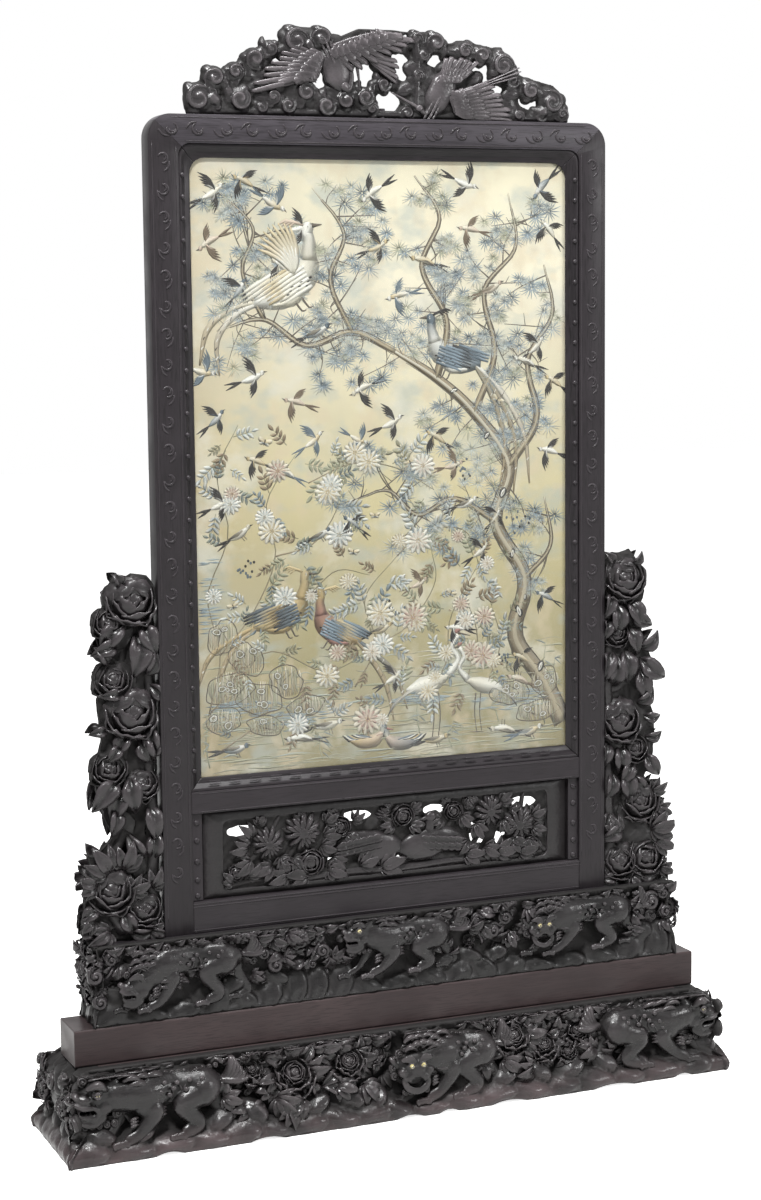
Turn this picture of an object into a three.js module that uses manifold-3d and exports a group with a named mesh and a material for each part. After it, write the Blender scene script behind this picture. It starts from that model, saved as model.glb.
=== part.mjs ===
// Carved hardwood floor screen: a framed silk picture that lowers into a carved two-tier stand.
// Millimetres, +Z up. The front faces -Y. The origin is on the floor under the middle of the stand.
import * as THREE from 'three';
import { mergeVertices } from 'three/addons/utils/BufferGeometryUtils.js';
import Module from 'manifold-3d';

const wasm = await Module();
wasm.setup();

// Clearance between pieces that touch
const seat = 0.3;

// How far a carved surface may be simplified
const carvingTolerance = 0.2;

// Lower base, a hollow ring of four flared boards. It stands out past the waist beam by baseStep at the ends,
// and at the front and back by the boards' reach and a narrow gap.
const baseStep = 36;
const baseHeight = 143.4;
const baseReach = 74;
const baseTopThickness = 22;
const cornerBlockLeg = 34;

// Plain waist beam between the two carved tiers
const waistStep = 32;
const waistGap = 4;
const waistDepth = 88;
const waistHeight = 61.6;
const waistChamfer = 2;

// Upper plinth, four carved boards round a core beam
const plinthDepth = 92;
const plinthHeight = 132;
const plinthBoard = 24;
const plinthProud = 12;
const coreTenonLength = 60;
const coreTenonDrop = 30;

// Screen frame
const frameWidth = 821;
const frameHeight = 1342;
const frameThickness = 36;
const stileWidth = 50;
const topRailHeight = 46;
const midRailHeight = 37;
const bottomRailHeight = 53;
const apronHeight = 149;
const outerRadius = 38;
const innerRadius = 20;
const railTenonLength = 22;
const railTenonThickness = 12;
const footTenonLength = 70;
const footTenonWidth = 30;
const footTenonThickness = 14;

// Moulding round the silk and what it holds
const mouldingWidth = 21.5;
const mouldingFront = 15;
const mouldingBack = 5.7;
const mouldingFillet = 2.5;
const mouldingLip = 1;
const sightRadius = 26;
const glassThickness = 2.6;
const silkThickness = 1;
const mountBoardThickness = 6;
const backPanelThickness = 7;
const stripWidth = 14;

// Pierced panel under the picture
const apronThickness = 14;
const muntinWidth = 19;
const muntinThickness = 24;
const apronMarginX = 38;
const apronMarginLow = 12;
const apronMarginTop = 18;
const apronRecess = 4;

// Side wings and crest
const wingWidth = 138;
const wingHeight = 604;
const wingThickness = 44;
const wingOverhang = 3.5;
const wingTenonLength = 36;
const wingTenonWidth = 44;
const wingTenonThickness = 14;
const crestWidth = 694;
const crestHeight = 149;
const crestThickness = 26;
const dowelRadius = 6;
const dowelDepth = 28;
const eyeRadius = 4.5;

// Lengths, levels and faces that follow from the driving sizes
const plinthLength = frameWidth + 2 * (wingWidth - wingOverhang);
const waistLength = plinthLength + 2 * waistStep;
const baseLength = waistLength + 2 * baseStep;
const baseDepth = waistDepth + 2 * (waistGap + baseReach);
const waistBottom = baseHeight + seat;
const waistTop = waistBottom + waistHeight;
const plinthBottom = waistTop + seat;
const plinthTop = plinthBottom + plinthHeight;
const frameBottom = plinthTop + seat;
const frameTop = frameBottom + frameHeight;
const apronBottom = frameBottom + bottomRailHeight;
const apronTop = apronBottom + apronHeight;
const sightBottom = apronTop + midRailHeight;
const sightTop = frameTop - topRailHeight;
const stileOuter = frameWidth / 2;
const stileInner = stileOuter - stileWidth;
const frameFront = frameThickness / 2;
const crestBottom = frameTop + seat;

// Solid helpers

function solidOf(geometry) {
  const bare = geometry.index ? geometry.toNonIndexed() : geometry.clone();
  bare.deleteAttribute('normal');
  bare.deleteAttribute('uv');
  const merged = mergeVertices(bare, 1e-4);
  const mesh = new wasm.Mesh({
    numProp: 3,
    vertProperties: merged.attributes.position.array,
    triVerts: new Uint32Array(merged.index.array),
  });
  return new wasm.Manifold(mesh);
}

function joined(solids) {
  return solids.reduce((whole, next) => whole.add(next));
}

function without(solid, cutters) {
  return cutters.length ? solid.subtract(joined(cutters)) : solid;
}

function box(x0, x1, y0, y1, z0, z1) {
  const geometry = new THREE.BoxGeometry(x1 - x0, y1 - y0, z1 - z0);
  geometry.translate((x0 + x1) / 2, (y0 + y1) / 2, (z0 + z1) / 2);
  return solidOf(geometry);
}

function shapeOf(points) {
  return new THREE.Shape(points.map(([a, b]) => new THREE.Vector2(a, b)));
}

// A shape in the XZ plane, thickened from y0 back to y1
function slab(shape, y0, y1, curveSegments = 5) {
  const geometry = new THREE.ExtrudeGeometry(shape, { depth: y1 - y0, bevelEnabled: false, curveSegments });
  const turn = new THREE.Matrix4().makeBasis(
    new THREE.Vector3(1, 0, 0),
    new THREE.Vector3(0, 0, 1),
    new THREE.Vector3(0, -1, 0),
  );
  geometry.applyMatrix4(turn);
  geometry.translate(0, y1, 0);
  return solidOf(geometry);
}

// A shape in the YZ plane, run along X from x0 to x1
function lengthwise(shape, x0, x1) {
  const geometry = new THREE.ExtrudeGeometry(shape, { depth: x1 - x0, bevelEnabled: false });
  const turn = new THREE.Matrix4().makeBasis(
    new THREE.Vector3(0, 1, 0),
    new THREE.Vector3(0, 0, 1),
    new THREE.Vector3(1, 0, 0),
  );
  geometry.applyMatrix4(turn);
  geometry.translate(x0, 0, 0);
  return solidOf(geometry);
}

// A shape in the XY plane, raised from z0 to z1
function upright(shape, z0, z1) {
  const geometry = new THREE.ExtrudeGeometry(shape, { depth: z1 - z0, bevelEnabled: false });
  geometry.translate(0, 0, z0);
  return solidOf(geometry);
}

// A carved lump: an ellipsoid whose poles face front and back, turned by tilt in the XZ plane
function lump(x, y, z, rx, ry, rz, tilt = 0, sides = 6, rings = 4) {
  const geometry = new THREE.SphereGeometry(1, sides, rings);
  geometry.scale(rx, ry, rz);
  geometry.rotateY(-tilt);
  geometry.translate(x, y, z);
  return solidOf(geometry);
}

// A flower head with a lobed outline, its inner petals lying over the gaps between the outer ones
function blossom(x, y, z, radius, depth, petals = 5) {
  const geometry = new THREE.SphereGeometry(1, 2 * petals, 4);
  const at = geometry.attributes.position;
  for (let i = 0; i < at.count; i += 1) {
    const angle = Math.atan2(at.getZ(i), at.getX(i));
    const ring = Math.abs(at.getY(i)) > 0.5 ? -0.16 : 0.1;
    const lobe = 1 + ring * Math.cos(petals * angle);
    at.setX(i, at.getX(i) * lobe * radius);
    at.setZ(i, at.getZ(i) * lobe * radius);
    at.setY(i, at.getY(i) * depth);
  }
  geometry.translate(x, y, z);
  return solidOf(geometry);
}

// A pointed leaf as a slab, its tip turned by angle from straight up
function leaf(x, y, z, length, width, thickness, angle) {
  const half = length / 2;
  const outline = [[0, -half], [width / 2, -half * 0.2], [width * 0.34, half * 0.45], [0, half],
    [-width * 0.34, half * 0.45], [-width / 2, -half * 0.2]];
  const c = Math.cos(angle);
  const s = Math.sin(angle);
  const turned = outline.map(([a, b]) => [x + a * c + b * s, z - a * s + b * c]);
  return slab(shapeOf(turned), y - thickness / 2, y + thickness / 2);
}

// A cutter for an oval hole right through a board
function pierced(x, z, rx, rz, tilt, reachY, sides) {
  const oval = new THREE.EllipseCurve(x, z, rx, rz, 0, 2 * Math.PI, false, tilt);
  return slab(new THREE.Shape(oval.getPoints(sides).slice(0, sides)), -reachY, reachY);
}

// The finished group

const screen = new THREE.Group();

function place(name, solid, finish, turnZ = 0) {
  const raw = solid.getMesh();
  const count = raw.numVert;
  const flat = new Float32Array(count * 3);
  for (let i = 0; i < count; i += 1) {
    flat.set(raw.vertProperties.subarray(i * raw.numProp, i * raw.numProp + 3), i * 3);
  }
  const geometry = new THREE.BufferGeometry();
  geometry.setAttribute('position', new THREE.BufferAttribute(flat, 3));
  geometry.setIndex(new THREE.BufferAttribute(raw.triVerts, 1));
  geometry.computeVertexNormals();
  const mesh = new THREE.Mesh(geometry, finish);
  mesh.name = name;
  mesh.rotation.z = turnZ;
  screen.add(mesh);
}

const darkWood = new THREE.MeshStandardMaterial({ color: 0x2b2322, roughness: 0.45, metalness: 0 });
const plainWood = new THREE.MeshStandardMaterial({ color: 0x33271f, roughness: 0.5, metalness: 0 });
const backWood = new THREE.MeshStandardMaterial({ color: 0x4a3526, roughness: 0.7, metalness: 0 });
const silkCloth = new THREE.MeshStandardMaterial({ color: 0xd8cfae, roughness: 0.6, metalness: 0 });
const clearGlass = new THREE.MeshStandardMaterial({
  color: 0xf4f8f6, roughness: 0.05, metalness: 0, transparent: true, opacity: 0.2,
});
const eyeGlass = new THREE.MeshStandardMaterial({ color: 0xe8dc8c, roughness: 0.1, metalness: 0 });

// A carved board of a mitred ring. It stands in front of the ring's middle, at distance, and faces -Y.
// The profile gives how far its face stands out from its back, as shares of reach and of height.

function faceAt(profile, reach, height, z) {
  const level = Math.min(Math.max(z / height, 0), 1);
  for (let i = 1; i < profile.length; i += 1) {
    const [outA, upA] = profile[i - 1];
    const [outB, upB] = profile[i];
    if (level >= upA && level <= upB && upB > upA) {
      return reach * (outA + ((outB - outA) * (level - upA)) / (upB - upA));
    }
  }
  return reach * profile[profile.length - 1][0];
}

function ringBoard({ length, distance, reach, height, bottom, profile, relief, notches, proud = 0 }) {
  const back = -(distance - reach);
  const outline = [[back, bottom]];
  profile.forEach(([out, up]) => outline.push([back - reach * out, bottom + height * up]));
  outline.push([back, bottom + height]);
  const blank = lengthwise(shapeOf(outline), -length / 2, length / 2);
  const lumps = relief.map((make) => make((z) => back - faceAt(profile, reach, height, z - bottom)));
  const outer = distance + proud;
  const spread = length / 2 - distance - seat;
  const mitre = shapeOf([
    [spread - back, back], [-spread + back, back], [-spread - outer, -outer], [spread + outer, -outer],
  ]);
  const envelope = upright(mitre, bottom, bottom + height);
  return without(joined([blank, ...lumps]).intersect(envelope), notches).simplify(carvingTolerance);
}

// Relief on the boards. Places are shares: at runs from the middle to the end, up from bottom to top.
// Each entry makes its solid once it is told where the face of the board lies at a height.
// A head is at, up, radius, depth. A body is at, up, half length, half height, tilt. A leg is at, up, half
// length, lean, and a tail is at, up, half length, half height, lean.

function beast(half, bottom, height, { body, head, legs, tail }) {
  const [at, up, rx, rz, tilt] = body;
  const z = bottom + up * height;
  const headZ = bottom + head[1] * height;
  const tailZ = bottom + tail[1] * height;
  return [
    (face) => lump(at * half, face(z), z, rx, rz * 0.72, rz, tilt, 7),
    (face) => headLump(face, head[0] * half, headZ, head[2], head[3]),
    (face) => lump(tail[0] * half, face(tailZ) - 2, tailZ, tail[2], 13, tail[3], tail[4]),
    ...legs.map(([legAt, legUp, length, lean]) => (face) => {
      const legZ = bottom + legUp * height;
      return lump(legAt * half, face(legZ) - 2, legZ, length * 0.42, 15, length, lean);
    }),
  ];
}

function headLump(face, x, z, radius, depth) {
  return lump(x, face(z) - 4, z, radius, depth, radius * 0.92, 0, 7);
}

// A beast's glass eye, or the socket for it, sunk by half in the rounded front of the head
function eyeBall(face, half, bottom, height, [at, up, radius, depth], [dx, dz], ballRadius) {
  const z = bottom + up * height;
  const fall = Math.sqrt(1 - dx * dx - dz * dz);
  const y = face(z) - 4 - depth * 0.9 * fall;
  return lump(at * half + dx * radius, y, z + dz * radius, ballRadius, ballRadius, ballRadius, 0, 6, 4);
}

function flowers(half, bottom, height, list) {
  return list.map(([at, up, radius]) => (face) => {
    const z = bottom + up * height;
    return blossom(at * half, face(z), z, radius, radius * 0.62);
  });
}

function leaves(half, bottom, height, list) {
  return list.map(([at, up, length, angle]) => (face) => {
    const z = bottom + up * height;
    return leaf(at * half, face(z) - 1, z, length, length * 0.55, 18, angle);
  });
}

function rocks(half, bottom, height, list) {
  return list.map(([at, up, rx, rz]) => (face) => {
    const z = bottom + up * height;
    return lump(at * half, face(z) + 2, z, rx, 14, rz);
  });
}

// Lower base

const baseProfile = [[0.96, 0], [1, 0.08], [0.66, 0.36], [0.5, 0.76], [0.2, 1]];
const baseEndProfile = [[0.97, 0], [1, 0.1], [0.76, 0.38], [0.92, 0.66], [0.82, 0.9], [0.4, 1]];
const baseBeasts = [
  {
    body: [-0.69, 0.72, 88, 34, -0.1],
    head: [-0.9, 0.76, 38, 27],
    legs: [[-0.82, 0.44, 30, 0.3], [-0.59, 0.46, 32, -0.5]],
    tail: [-0.53, 0.86, 34, 13, -0.5],
  },
  {
    body: [0.12, 0.62, 48, 34, 0],
    head: [0, 0.6, 40, 30],
    legs: [[-0.07, 0.28, 26, 0.4], [0.15, 0.32, 28, -0.4]],
    tail: [0.19, 0.84, 30, 16, 0.5],
  },
  {
    body: [0.745, 0.69, 90, 38, 0.12],
    head: [0.92, 0.76, 38, 27],
    legs: [[0.65, 0.38, 30, 0.6], [0.84, 0.38, 30, -0.3]],
    tail: [0.6, 0.86, 36, 13, 0.4],
  },
];
const baseEyes = [[0, [-0.2, 0.2]], [1, [-0.28, 0.16]], [1, [0.26, 0.16]], [2, [-0.1, 0.24]]];
const baseFlowers = [[-0.36, 0.66, 40], [-0.2, 0.74, 30], [0.32, 0.78, 36], [0.42, 0.64, 28], [0.53, 0.7, 26]];
const baseLeaves = [[-0.44, 0.86, 56, -0.7], [-0.28, 0.9, 58, 0.8], [-0.4, 0.38, 60, -0.9],
  [-0.27, 0.36, 56, 0.6], [-0.1, 0.88, 54, 0.9], [0.26, 0.48, 54, 0.4], [0.46, 0.4, 54, -0.7], [0.46, 0.93, 60, 1.3]];
const baseRocks = [[-0.9, 0.12, 70, 18], [-0.62, 0.12, 84, 18], [-0.32, 0.13, 78, 20], [-0.09, 0.12, 50, 18],
  [0.14, 0.13, 76, 20], [0.46, 0.14, 84, 20], [0.72, 0.12, 72, 18], [0.93, 0.16, 56, 26]];
const baseNotches = [[-0.02, 15], [0.1, 9], [0.35, 42], [0.62, 18], [-0.62, 26]];
const notchDepth = 6;

function notchUnder(x, halfWidth, depth, reachY) {
  const outline = [[x - halfWidth, -1], [x + halfWidth, -1], [x + halfWidth * 0.6, depth], [x - halfWidth * 0.6,
    depth]];
  return slab(shapeOf(outline), -reachY, reachY);
}

// Cuts the eye sockets of a board and places the eyes
function seatEyes(board, beasts, eyes, half, bottom, height, face, name) {
  const sockets = eyes.map(([which, spot]) => eyeBall(face, half, bottom, height, beasts[which].head, spot,
    eyeRadius + seat));
  eyes.forEach(([which, spot], i) => {
    const ball = eyeBall(face, half, bottom, height, beasts[which].head, spot, eyeRadius);
    place(`${name}_eye_${i + 1}`, ball, eyeGlass);
  });
  return without(board, sockets);
}

const baseHalf = baseLength / 2;
const baseShape = {
  length: baseLength,
  distance: baseDepth / 2,
  reach: baseReach,
  height: baseHeight,
  bottom: 0,
  profile: baseProfile,
  notches: baseNotches.map(([at, w]) => notchUnder(at * baseHalf, w, notchDepth, baseDepth)),
};
const baseRockRelief = rocks(baseHalf, 0, baseHeight, baseRocks);
const baseBoardFront = ringBoard({
  ...baseShape,
  relief: [
    ...baseBeasts.flatMap((b) => beast(baseHalf, 0, baseHeight, b)),
    ...flowers(baseHalf, 0, baseHeight, baseFlowers),
    ...leaves(baseHalf, 0, baseHeight, baseLeaves),
    ...baseRockRelief,
  ],
});
const baseFace = (z) => -(baseDepth / 2 - baseReach) - faceAt(baseProfile, baseReach, baseHeight, z);
const baseFront = seatEyes(baseBoardFront, baseBeasts, baseEyes, baseHalf, 0, baseHeight, baseFace, 'base');

// The back is carved with flowers and rocks only
const baseBackFlowers = [-0.84, -0.56, -0.24, 0.08, 0.38, 0.68, 0.9].map((at, i) => [at, 0.66 + 0.08 * (i % 2), 36]);
const baseBack = ringBoard({
  ...baseShape,
  relief: [...flowers(baseHalf, 0, baseHeight, baseBackFlowers), ...baseRockRelief],
});
const baseEndHalf = baseDepth / 2;
const baseEndFlowers = [[-0.3, 0.7, 36], [0.42, 0.74, 34]];
const baseEndRocks = [[0.04, 0.32, 44, 22], [-0.5, 0.16, 50, 22], [0.5, 0.16, 52, 22]];
const baseEnd = ringBoard({
  length: baseDepth,
  distance: baseLength / 2,
  reach: baseReach,
  height: baseHeight,
  bottom: 0,
  profile: baseEndProfile,
  relief: [
    ...flowers(baseEndHalf, 0, baseHeight, baseEndFlowers),
    ...rocks(baseEndHalf, 0, baseHeight, baseEndRocks),
  ],
  notches: [],
});
place('base_front_carving', baseFront, darkWood);
place('base_back_carving', baseBack, darkWood, Math.PI);
place('base_right_carving', baseEnd, darkWood, Math.PI / 2);
place('base_left_carving', baseEnd, darkWood, -Math.PI / 2);

// Inside the base: the board that carries the waist beam, and glue blocks in the corners

const wellX = baseLength / 2 - baseReach - seat;
const wellY = baseDepth / 2 - baseReach - seat;
place('base_top_board', box(-wellX, wellX, -wellY, wellY, baseHeight - baseTopThickness, baseHeight), plainWood);
[['front_left', -1, -1], ['front_right', 1, -1], ['back_left', -1, 1], ['back_right', 1, 1]].forEach(
  ([name, sx, sy]) => {
    const corner = [sx * wellX, sy * wellY];
    const alongX = [sx * (wellX - cornerBlockLeg), sy * wellY];
    const alongY = [sx * wellX, sy * (wellY - cornerBlockLeg)];
    const plan = sx * sy > 0 ? [corner, alongX, alongY] : [corner, alongY, alongX];
    const block = upright(shapeOf(plan), notchDepth, baseHeight - baseTopThickness - seat);
    place(`base_${name}_glue_block`, block, backWood);
  },
);

// Waist beam, with two blind mortises for the core beam's tenons

function chamferedEnd(halfDepth, low, high, cut) {
  return shapeOf([
    [-halfDepth + cut, low], [halfDepth - cut, low], [halfDepth, low + cut], [halfDepth, high - cut],
    [halfDepth - cut, high], [-halfDepth + cut, high], [-halfDepth, high - cut], [-halfDepth, low + cut],
  ]);
}

const coreHalfLength = plinthLength / 2 - plinthBoard - seat;
const coreHalfDepth = plinthDepth / 2 - plinthBoard - seat;
const coreTenonCentres = [-coreHalfLength * 0.6, coreHalfLength * 0.6];
const coreTenonHalfDepth = coreHalfDepth * 0.5;
const waistBlank = lengthwise(chamferedEnd(waistDepth / 2, waistBottom, waistTop, waistChamfer),
  -waistLength / 2, waistLength / 2);
const waistMortises = coreTenonCentres.map((x) => box(
  x - coreTenonLength / 2 - seat, x + coreTenonLength / 2 + seat,
  -coreTenonHalfDepth - seat, coreTenonHalfDepth + seat,
  waistTop - coreTenonDrop - seat, waistTop + 1,
));
place('waist_beam', without(waistBlank, waistMortises), plainWood);

// Upper plinth

const footCentre = stileOuter - stileWidth / 2;
const wingTenonCentre = stileOuter + seat + wingWidth * 0.42;
const coreMortises = [-1, 1].flatMap((side) => [
  box(side * footCentre - footTenonWidth / 2 - seat, side * footCentre + footTenonWidth / 2 + seat,
    -footTenonThickness / 2 - seat, footTenonThickness / 2 + seat,
    plinthTop - footTenonLength - seat, plinthTop + 1),
  box(side * wingTenonCentre - wingTenonWidth / 2 - seat, side * wingTenonCentre + wingTenonWidth / 2 + seat,
    -wingTenonThickness / 2 - seat, wingTenonThickness / 2 + seat,
    plinthTop - wingTenonLength - seat, plinthTop + 1),
]);
const coreTenons = coreTenonCentres.map((x) => box(
  x - coreTenonLength / 2, x + coreTenonLength / 2,
  -coreTenonHalfDepth, coreTenonHalfDepth,
  plinthBottom - coreTenonDrop, plinthBottom + 1,
));
const coreBlank = box(-coreHalfLength, coreHalfLength, -coreHalfDepth, coreHalfDepth, plinthBottom, plinthTop);
place('plinth_core_beam', without(joined([coreBlank, ...coreTenons]), coreMortises), backWood);

const plinthProfile = [[1, 0], [0.76, 0.4], [0.74, 0.85], [0.86, 1]];
const plinthBeasts = [
  {
    body: [-0.69, 0.7, 86, 30, 0.12],
    head: [-0.84, 0.4, 30, 14],
    legs: [[-0.74, 0.32, 24, 0.4], [-0.56, 0.46, 28, -0.5]],
    tail: [-0.49, 0.56, 40, 15, -0.3],
  },
  {
    body: [0.03, 0.7, 66, 36, 0.1],
    head: [-0.14, 0.82, 30, 14],
    legs: [[-0.06, 0.42, 24, 0.4], [0.18, 0.42, 30, -0.9]],
    tail: [0.22, 0.76, 34, 14, -0.4],
  },
  {
    body: [0.68, 0.7, 72, 36, 0.1],
    head: [0.5, 0.6, 34, 15],
    legs: [[0.58, 0.3, 24, 0.3], [0.83, 0.48, 34, -0.9]],
    tail: [0.9, 0.8, 36, 22, -0.6],
  },
];
const plinthEyes = [[1, [-0.1, 0.2]], [2, [-0.3, 0.2]], [2, [0.24, 0.2]]];
const plinthFlowers = [[-0.4, 0.64, 28], [-0.27, 0.74, 26], [0.27, 0.84, 24], [0.36, 0.56, 28]];
const plinthRocks = [[-0.95, 0.2, 40, 24], [-0.62, 0.2, 40, 24], [-0.34, 0.24, 34, 30], [-0.2, 0.26, 36, 30],
  [-0.03, 0.16, 54, 20], [0.22, 0.2, 56, 22], [0.46, 0.14, 56, 18], [0.7, 0.14, 56, 18], [0.93, 0.24, 44, 30],
  [-0.93, 0.7, 34, 34]];
const plinthHalf = plinthLength / 2;
const plinthShape = {
  length: plinthLength,
  distance: plinthDepth / 2,
  reach: plinthBoard,
  height: plinthHeight,
  bottom: plinthBottom,
  profile: plinthProfile,
  notches: [],
  proud: plinthProud,
};
const plinthRockRelief = rocks(plinthHalf, plinthBottom, plinthHeight, plinthRocks);
const plinthBoardFront = ringBoard({
  ...plinthShape,
  relief: [
    ...plinthBeasts.flatMap((b) => beast(plinthHalf, plinthBottom, plinthHeight, b)),
    ...flowers(plinthHalf, plinthBottom, plinthHeight, plinthFlowers),
    ...plinthRockRelief,
  ],
});
const plinthFace = (z) => -(plinthDepth / 2 - plinthBoard)
  - faceAt(plinthProfile, plinthBoard, plinthHeight, z - plinthBottom);
const plinthFront = seatEyes(plinthBoardFront, plinthBeasts, plinthEyes, plinthHalf, plinthBottom, plinthHeight,
  plinthFace, 'plinth');
const plinthBackFlowers = [-0.72, -0.4, -0.06, 0.3, 0.6, 0.86].map((at, i) => [at, 0.7 + 0.08 * (i % 2), 30]);
const plinthBack = ringBoard({
  ...plinthShape,
  relief: [...flowers(plinthHalf, plinthBottom, plinthHeight, plinthBackFlowers), ...plinthRockRelief],
});
const plinthEndRocks = [[0, 0.24, 40, 26], [-0.2, 0.62, 30, 24], [0.3, 0.84, 26, 20]];
const plinthEnd = ringBoard({
  length: plinthDepth,
  distance: plinthLength / 2,
  reach: plinthBoard,
  height: plinthHeight,
  bottom: plinthBottom,
  profile: plinthProfile,
  relief: rocks(plinthDepth / 2, plinthBottom, plinthHeight, plinthEndRocks),
  notches: [],
  proud: plinthProud,
});
place('plinth_front_carving', plinthFront, darkWood);
place('plinth_back_carving', plinthBack, darkWood, Math.PI);
place('plinth_right_carving', plinthEnd, darkWood, Math.PI / 2);
place('plinth_left_carving', plinthEnd, darkWood, -Math.PI / 2);

// Screen frame: one outline with the picture opening, divided along its mitres into stiles and top rail

function roundTopOutline(half, low, high, radius) {
  const shape = new THREE.Shape();
  shape.moveTo(-half, low);
  shape.lineTo(half, low);
  shape.lineTo(half, high - radius);
  shape.absarc(half - radius, high - radius, radius, 0, Math.PI / 2, false);
  shape.lineTo(-half + radius, high);
  shape.absarc(-half + radius, high - radius, radius, Math.PI / 2, Math.PI, false);
  shape.closePath();
  return shape;
}

const frameOutline = roundTopOutline(stileOuter, frameBottom, frameTop, outerRadius);
const frameOpening = roundTopOutline(stileInner, frameBottom - 10, sightTop, innerRadius);
const frameRing = slab(frameOutline, -frameFront, frameFront, 6)
  .subtract(slab(frameOpening, -frameFront - 1, frameFront + 1, 4));
const beyond = 40;
const mitreSlope = topRailHeight / stileWidth;
const topWedge = shapeOf([
  [-stileInner + seat, sightTop], [stileInner - seat, sightTop],
  [stileOuter + beyond - seat, frameTop + beyond * mitreSlope],
  [-stileOuter - beyond + seat, frameTop + beyond * mitreSlope],
]);
const wedgeDrop = 2 * innerRadius;
const topPrism = slab(topWedge, -frameFront - 1, frameFront + 1).add(
  slab(shapeOf([[-stileInner + seat, sightTop], [-stileInner + wedgeDrop, sightTop - wedgeDrop * mitreSlope],
    [stileInner - wedgeDrop, sightTop - wedgeDrop * mitreSlope], [stileInner - seat, sightTop]]),
  -frameFront - 1, frameFront + 1),
);
const stileWedge = shapeOf([
  [stileInner - wedgeDrop, sightTop - wedgeDrop * mitreSlope], [stileInner - wedgeDrop, frameBottom - 1],
  [stileOuter + beyond, frameBottom - 1], [stileOuter + beyond, frameTop + beyond * mitreSlope],
]);
const stilePrism = slab(stileWedge, -frameFront - 1, frameFront + 1);

const dowelCentres = [-crestWidth * 0.32, 0, crestWidth * 0.32];

function dowel(x, low, high, radius) {
  const geometry = new THREE.CylinderGeometry(radius, radius, high - low, 12);
  geometry.rotateX(Math.PI / 2);
  geometry.translate(x, 0, (low + high) / 2);
  return solidOf(geometry);
}

const topRail = without(frameRing.intersect(topPrism),
  dowelCentres.map((x) => dowel(x, frameTop - dowelDepth - seat, frameTop + 1, dowelRadius + seat)));
place('top_rail', topRail, darkWood);

const railTenonLevels = [
  [frameBottom + bottomRailHeight * 0.25, frameBottom + bottomRailHeight * 0.75],
  [apronTop + midRailHeight * 0.22, apronTop + midRailHeight * 0.78],
];
const tenonHalfThickness = railTenonThickness / 2;
const stileMortises = railTenonLevels.map(([low, high]) => box(
  stileInner - 1, stileInner + railTenonLength + seat,
  -tenonHalfThickness - seat, tenonHalfThickness + seat, low - seat, high + seat,
));
const footTenon = box(footCentre - footTenonWidth / 2, footCentre + footTenonWidth / 2,
  -footTenonThickness / 2, footTenonThickness / 2, frameBottom - footTenonLength, frameBottom + 1);
const rightStile = without(frameRing.intersect(stilePrism).add(footTenon), stileMortises);
place('right_stile', rightStile, darkWood);
place('left_stile', rightStile.mirror([1, 0, 0]), darkWood);

function crossRail(low, high, [tenonLow, tenonHigh]) {
  const half = stileInner - seat;
  const bar = box(-half, half, -frameFront, frameFront, low, high);
  const reach = stileInner + railTenonLength;
  return bar.add(box(-reach, reach, -tenonHalfThickness, tenonHalfThickness, tenonLow, tenonHigh));
}

place('bottom_rail', crossRail(frameBottom, apronBottom, railTenonLevels[0]), darkWood);
place('middle_rail', crossRail(apronTop, sightBottom, railTenonLevels[1]), darkWood);

// Moulding round the picture, a lofted ring from the frame's opening in to the sight line

function openingPoints(half, low, high, radius, steps) {
  const points = [[-half, low], [half, low]];
  [[half - radius, 0], [-half + radius, Math.PI / 2]].forEach(([cx, start]) => {
    for (let i = 0; i <= steps; i += 1) {
      const a = start + (Math.PI / 2) * (i / steps);
      points.push([cx + radius * Math.cos(a), high - radius + radius * Math.sin(a)]);
    }
  });
  return points;
}

function loftedRing(outer, inner, section) {
  const count = outer.length;
  const vertices = [];
  section.forEach(([across, y]) => outer.forEach(([x, z], i) => {
    vertices.push(x + (inner[i][0] - x) * across, y, z + (inner[i][1] - z) * across);
  }));
  const faces = [];
  section.forEach((_, ring) => {
    const next = (ring + 1) % section.length;
    for (let i = 0; i < count; i += 1) {
      const j = (i + 1) % count;
      const [a, b, c, d] = [ring * count + i, ring * count + j, next * count + j, next * count + i];
      faces.push(a, b, c, a, c, d);
    }
  });
  const geometry = new THREE.BufferGeometry();
  geometry.setAttribute('position', new THREE.Float32BufferAttribute(vertices, 3));
  geometry.setIndex(faces);
  return solidOf(geometry);
}

const mouldingOuterHalf = stileInner - seat;
const mouldingLow = sightBottom + seat;
const mouldingHigh = sightTop - seat;
const sightHalf = mouldingOuterHalf - mouldingWidth;
const sightLow = mouldingLow + mouldingWidth;
const sightHigh = mouldingHigh - mouldingWidth;
const outerLine = openingPoints(mouldingOuterHalf, mouldingLow, mouldingHigh, innerRadius, 5);
const sightLine = openingPoints(sightHalf, sightLow, sightHigh, sightRadius, 5);
const mouldingSection = [
  [0, -mouldingFront], [0.2, -mouldingFront], [0.36, -mouldingFront + mouldingFillet],
  [0.56, -mouldingBack - 3 * mouldingLip], [0.84, -mouldingBack - 2 * mouldingLip], [1, -mouldingBack - mouldingLip],
  [1, -mouldingBack], [0, -mouldingBack],
];
const ringSolid = loftedRing(outerLine, sightLine, mouldingSection);
const mouldingRing = ringSolid.volume() > 0 ? ringSolid : loftedRing(outerLine, sightLine,
  [...mouldingSection].reverse());
const cornerRun = mouldingWidth * 1.6;
const sideWedge = slab(shapeOf([
  [mouldingOuterHalf + 1, mouldingLow + seat - 1], [mouldingOuterHalf + 1, mouldingHigh - seat + 1],
  [mouldingOuterHalf - cornerRun, mouldingHigh - seat - cornerRun],
  [mouldingOuterHalf - cornerRun, mouldingLow + seat + cornerRun],
]), -frameFront, 0);
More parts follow.
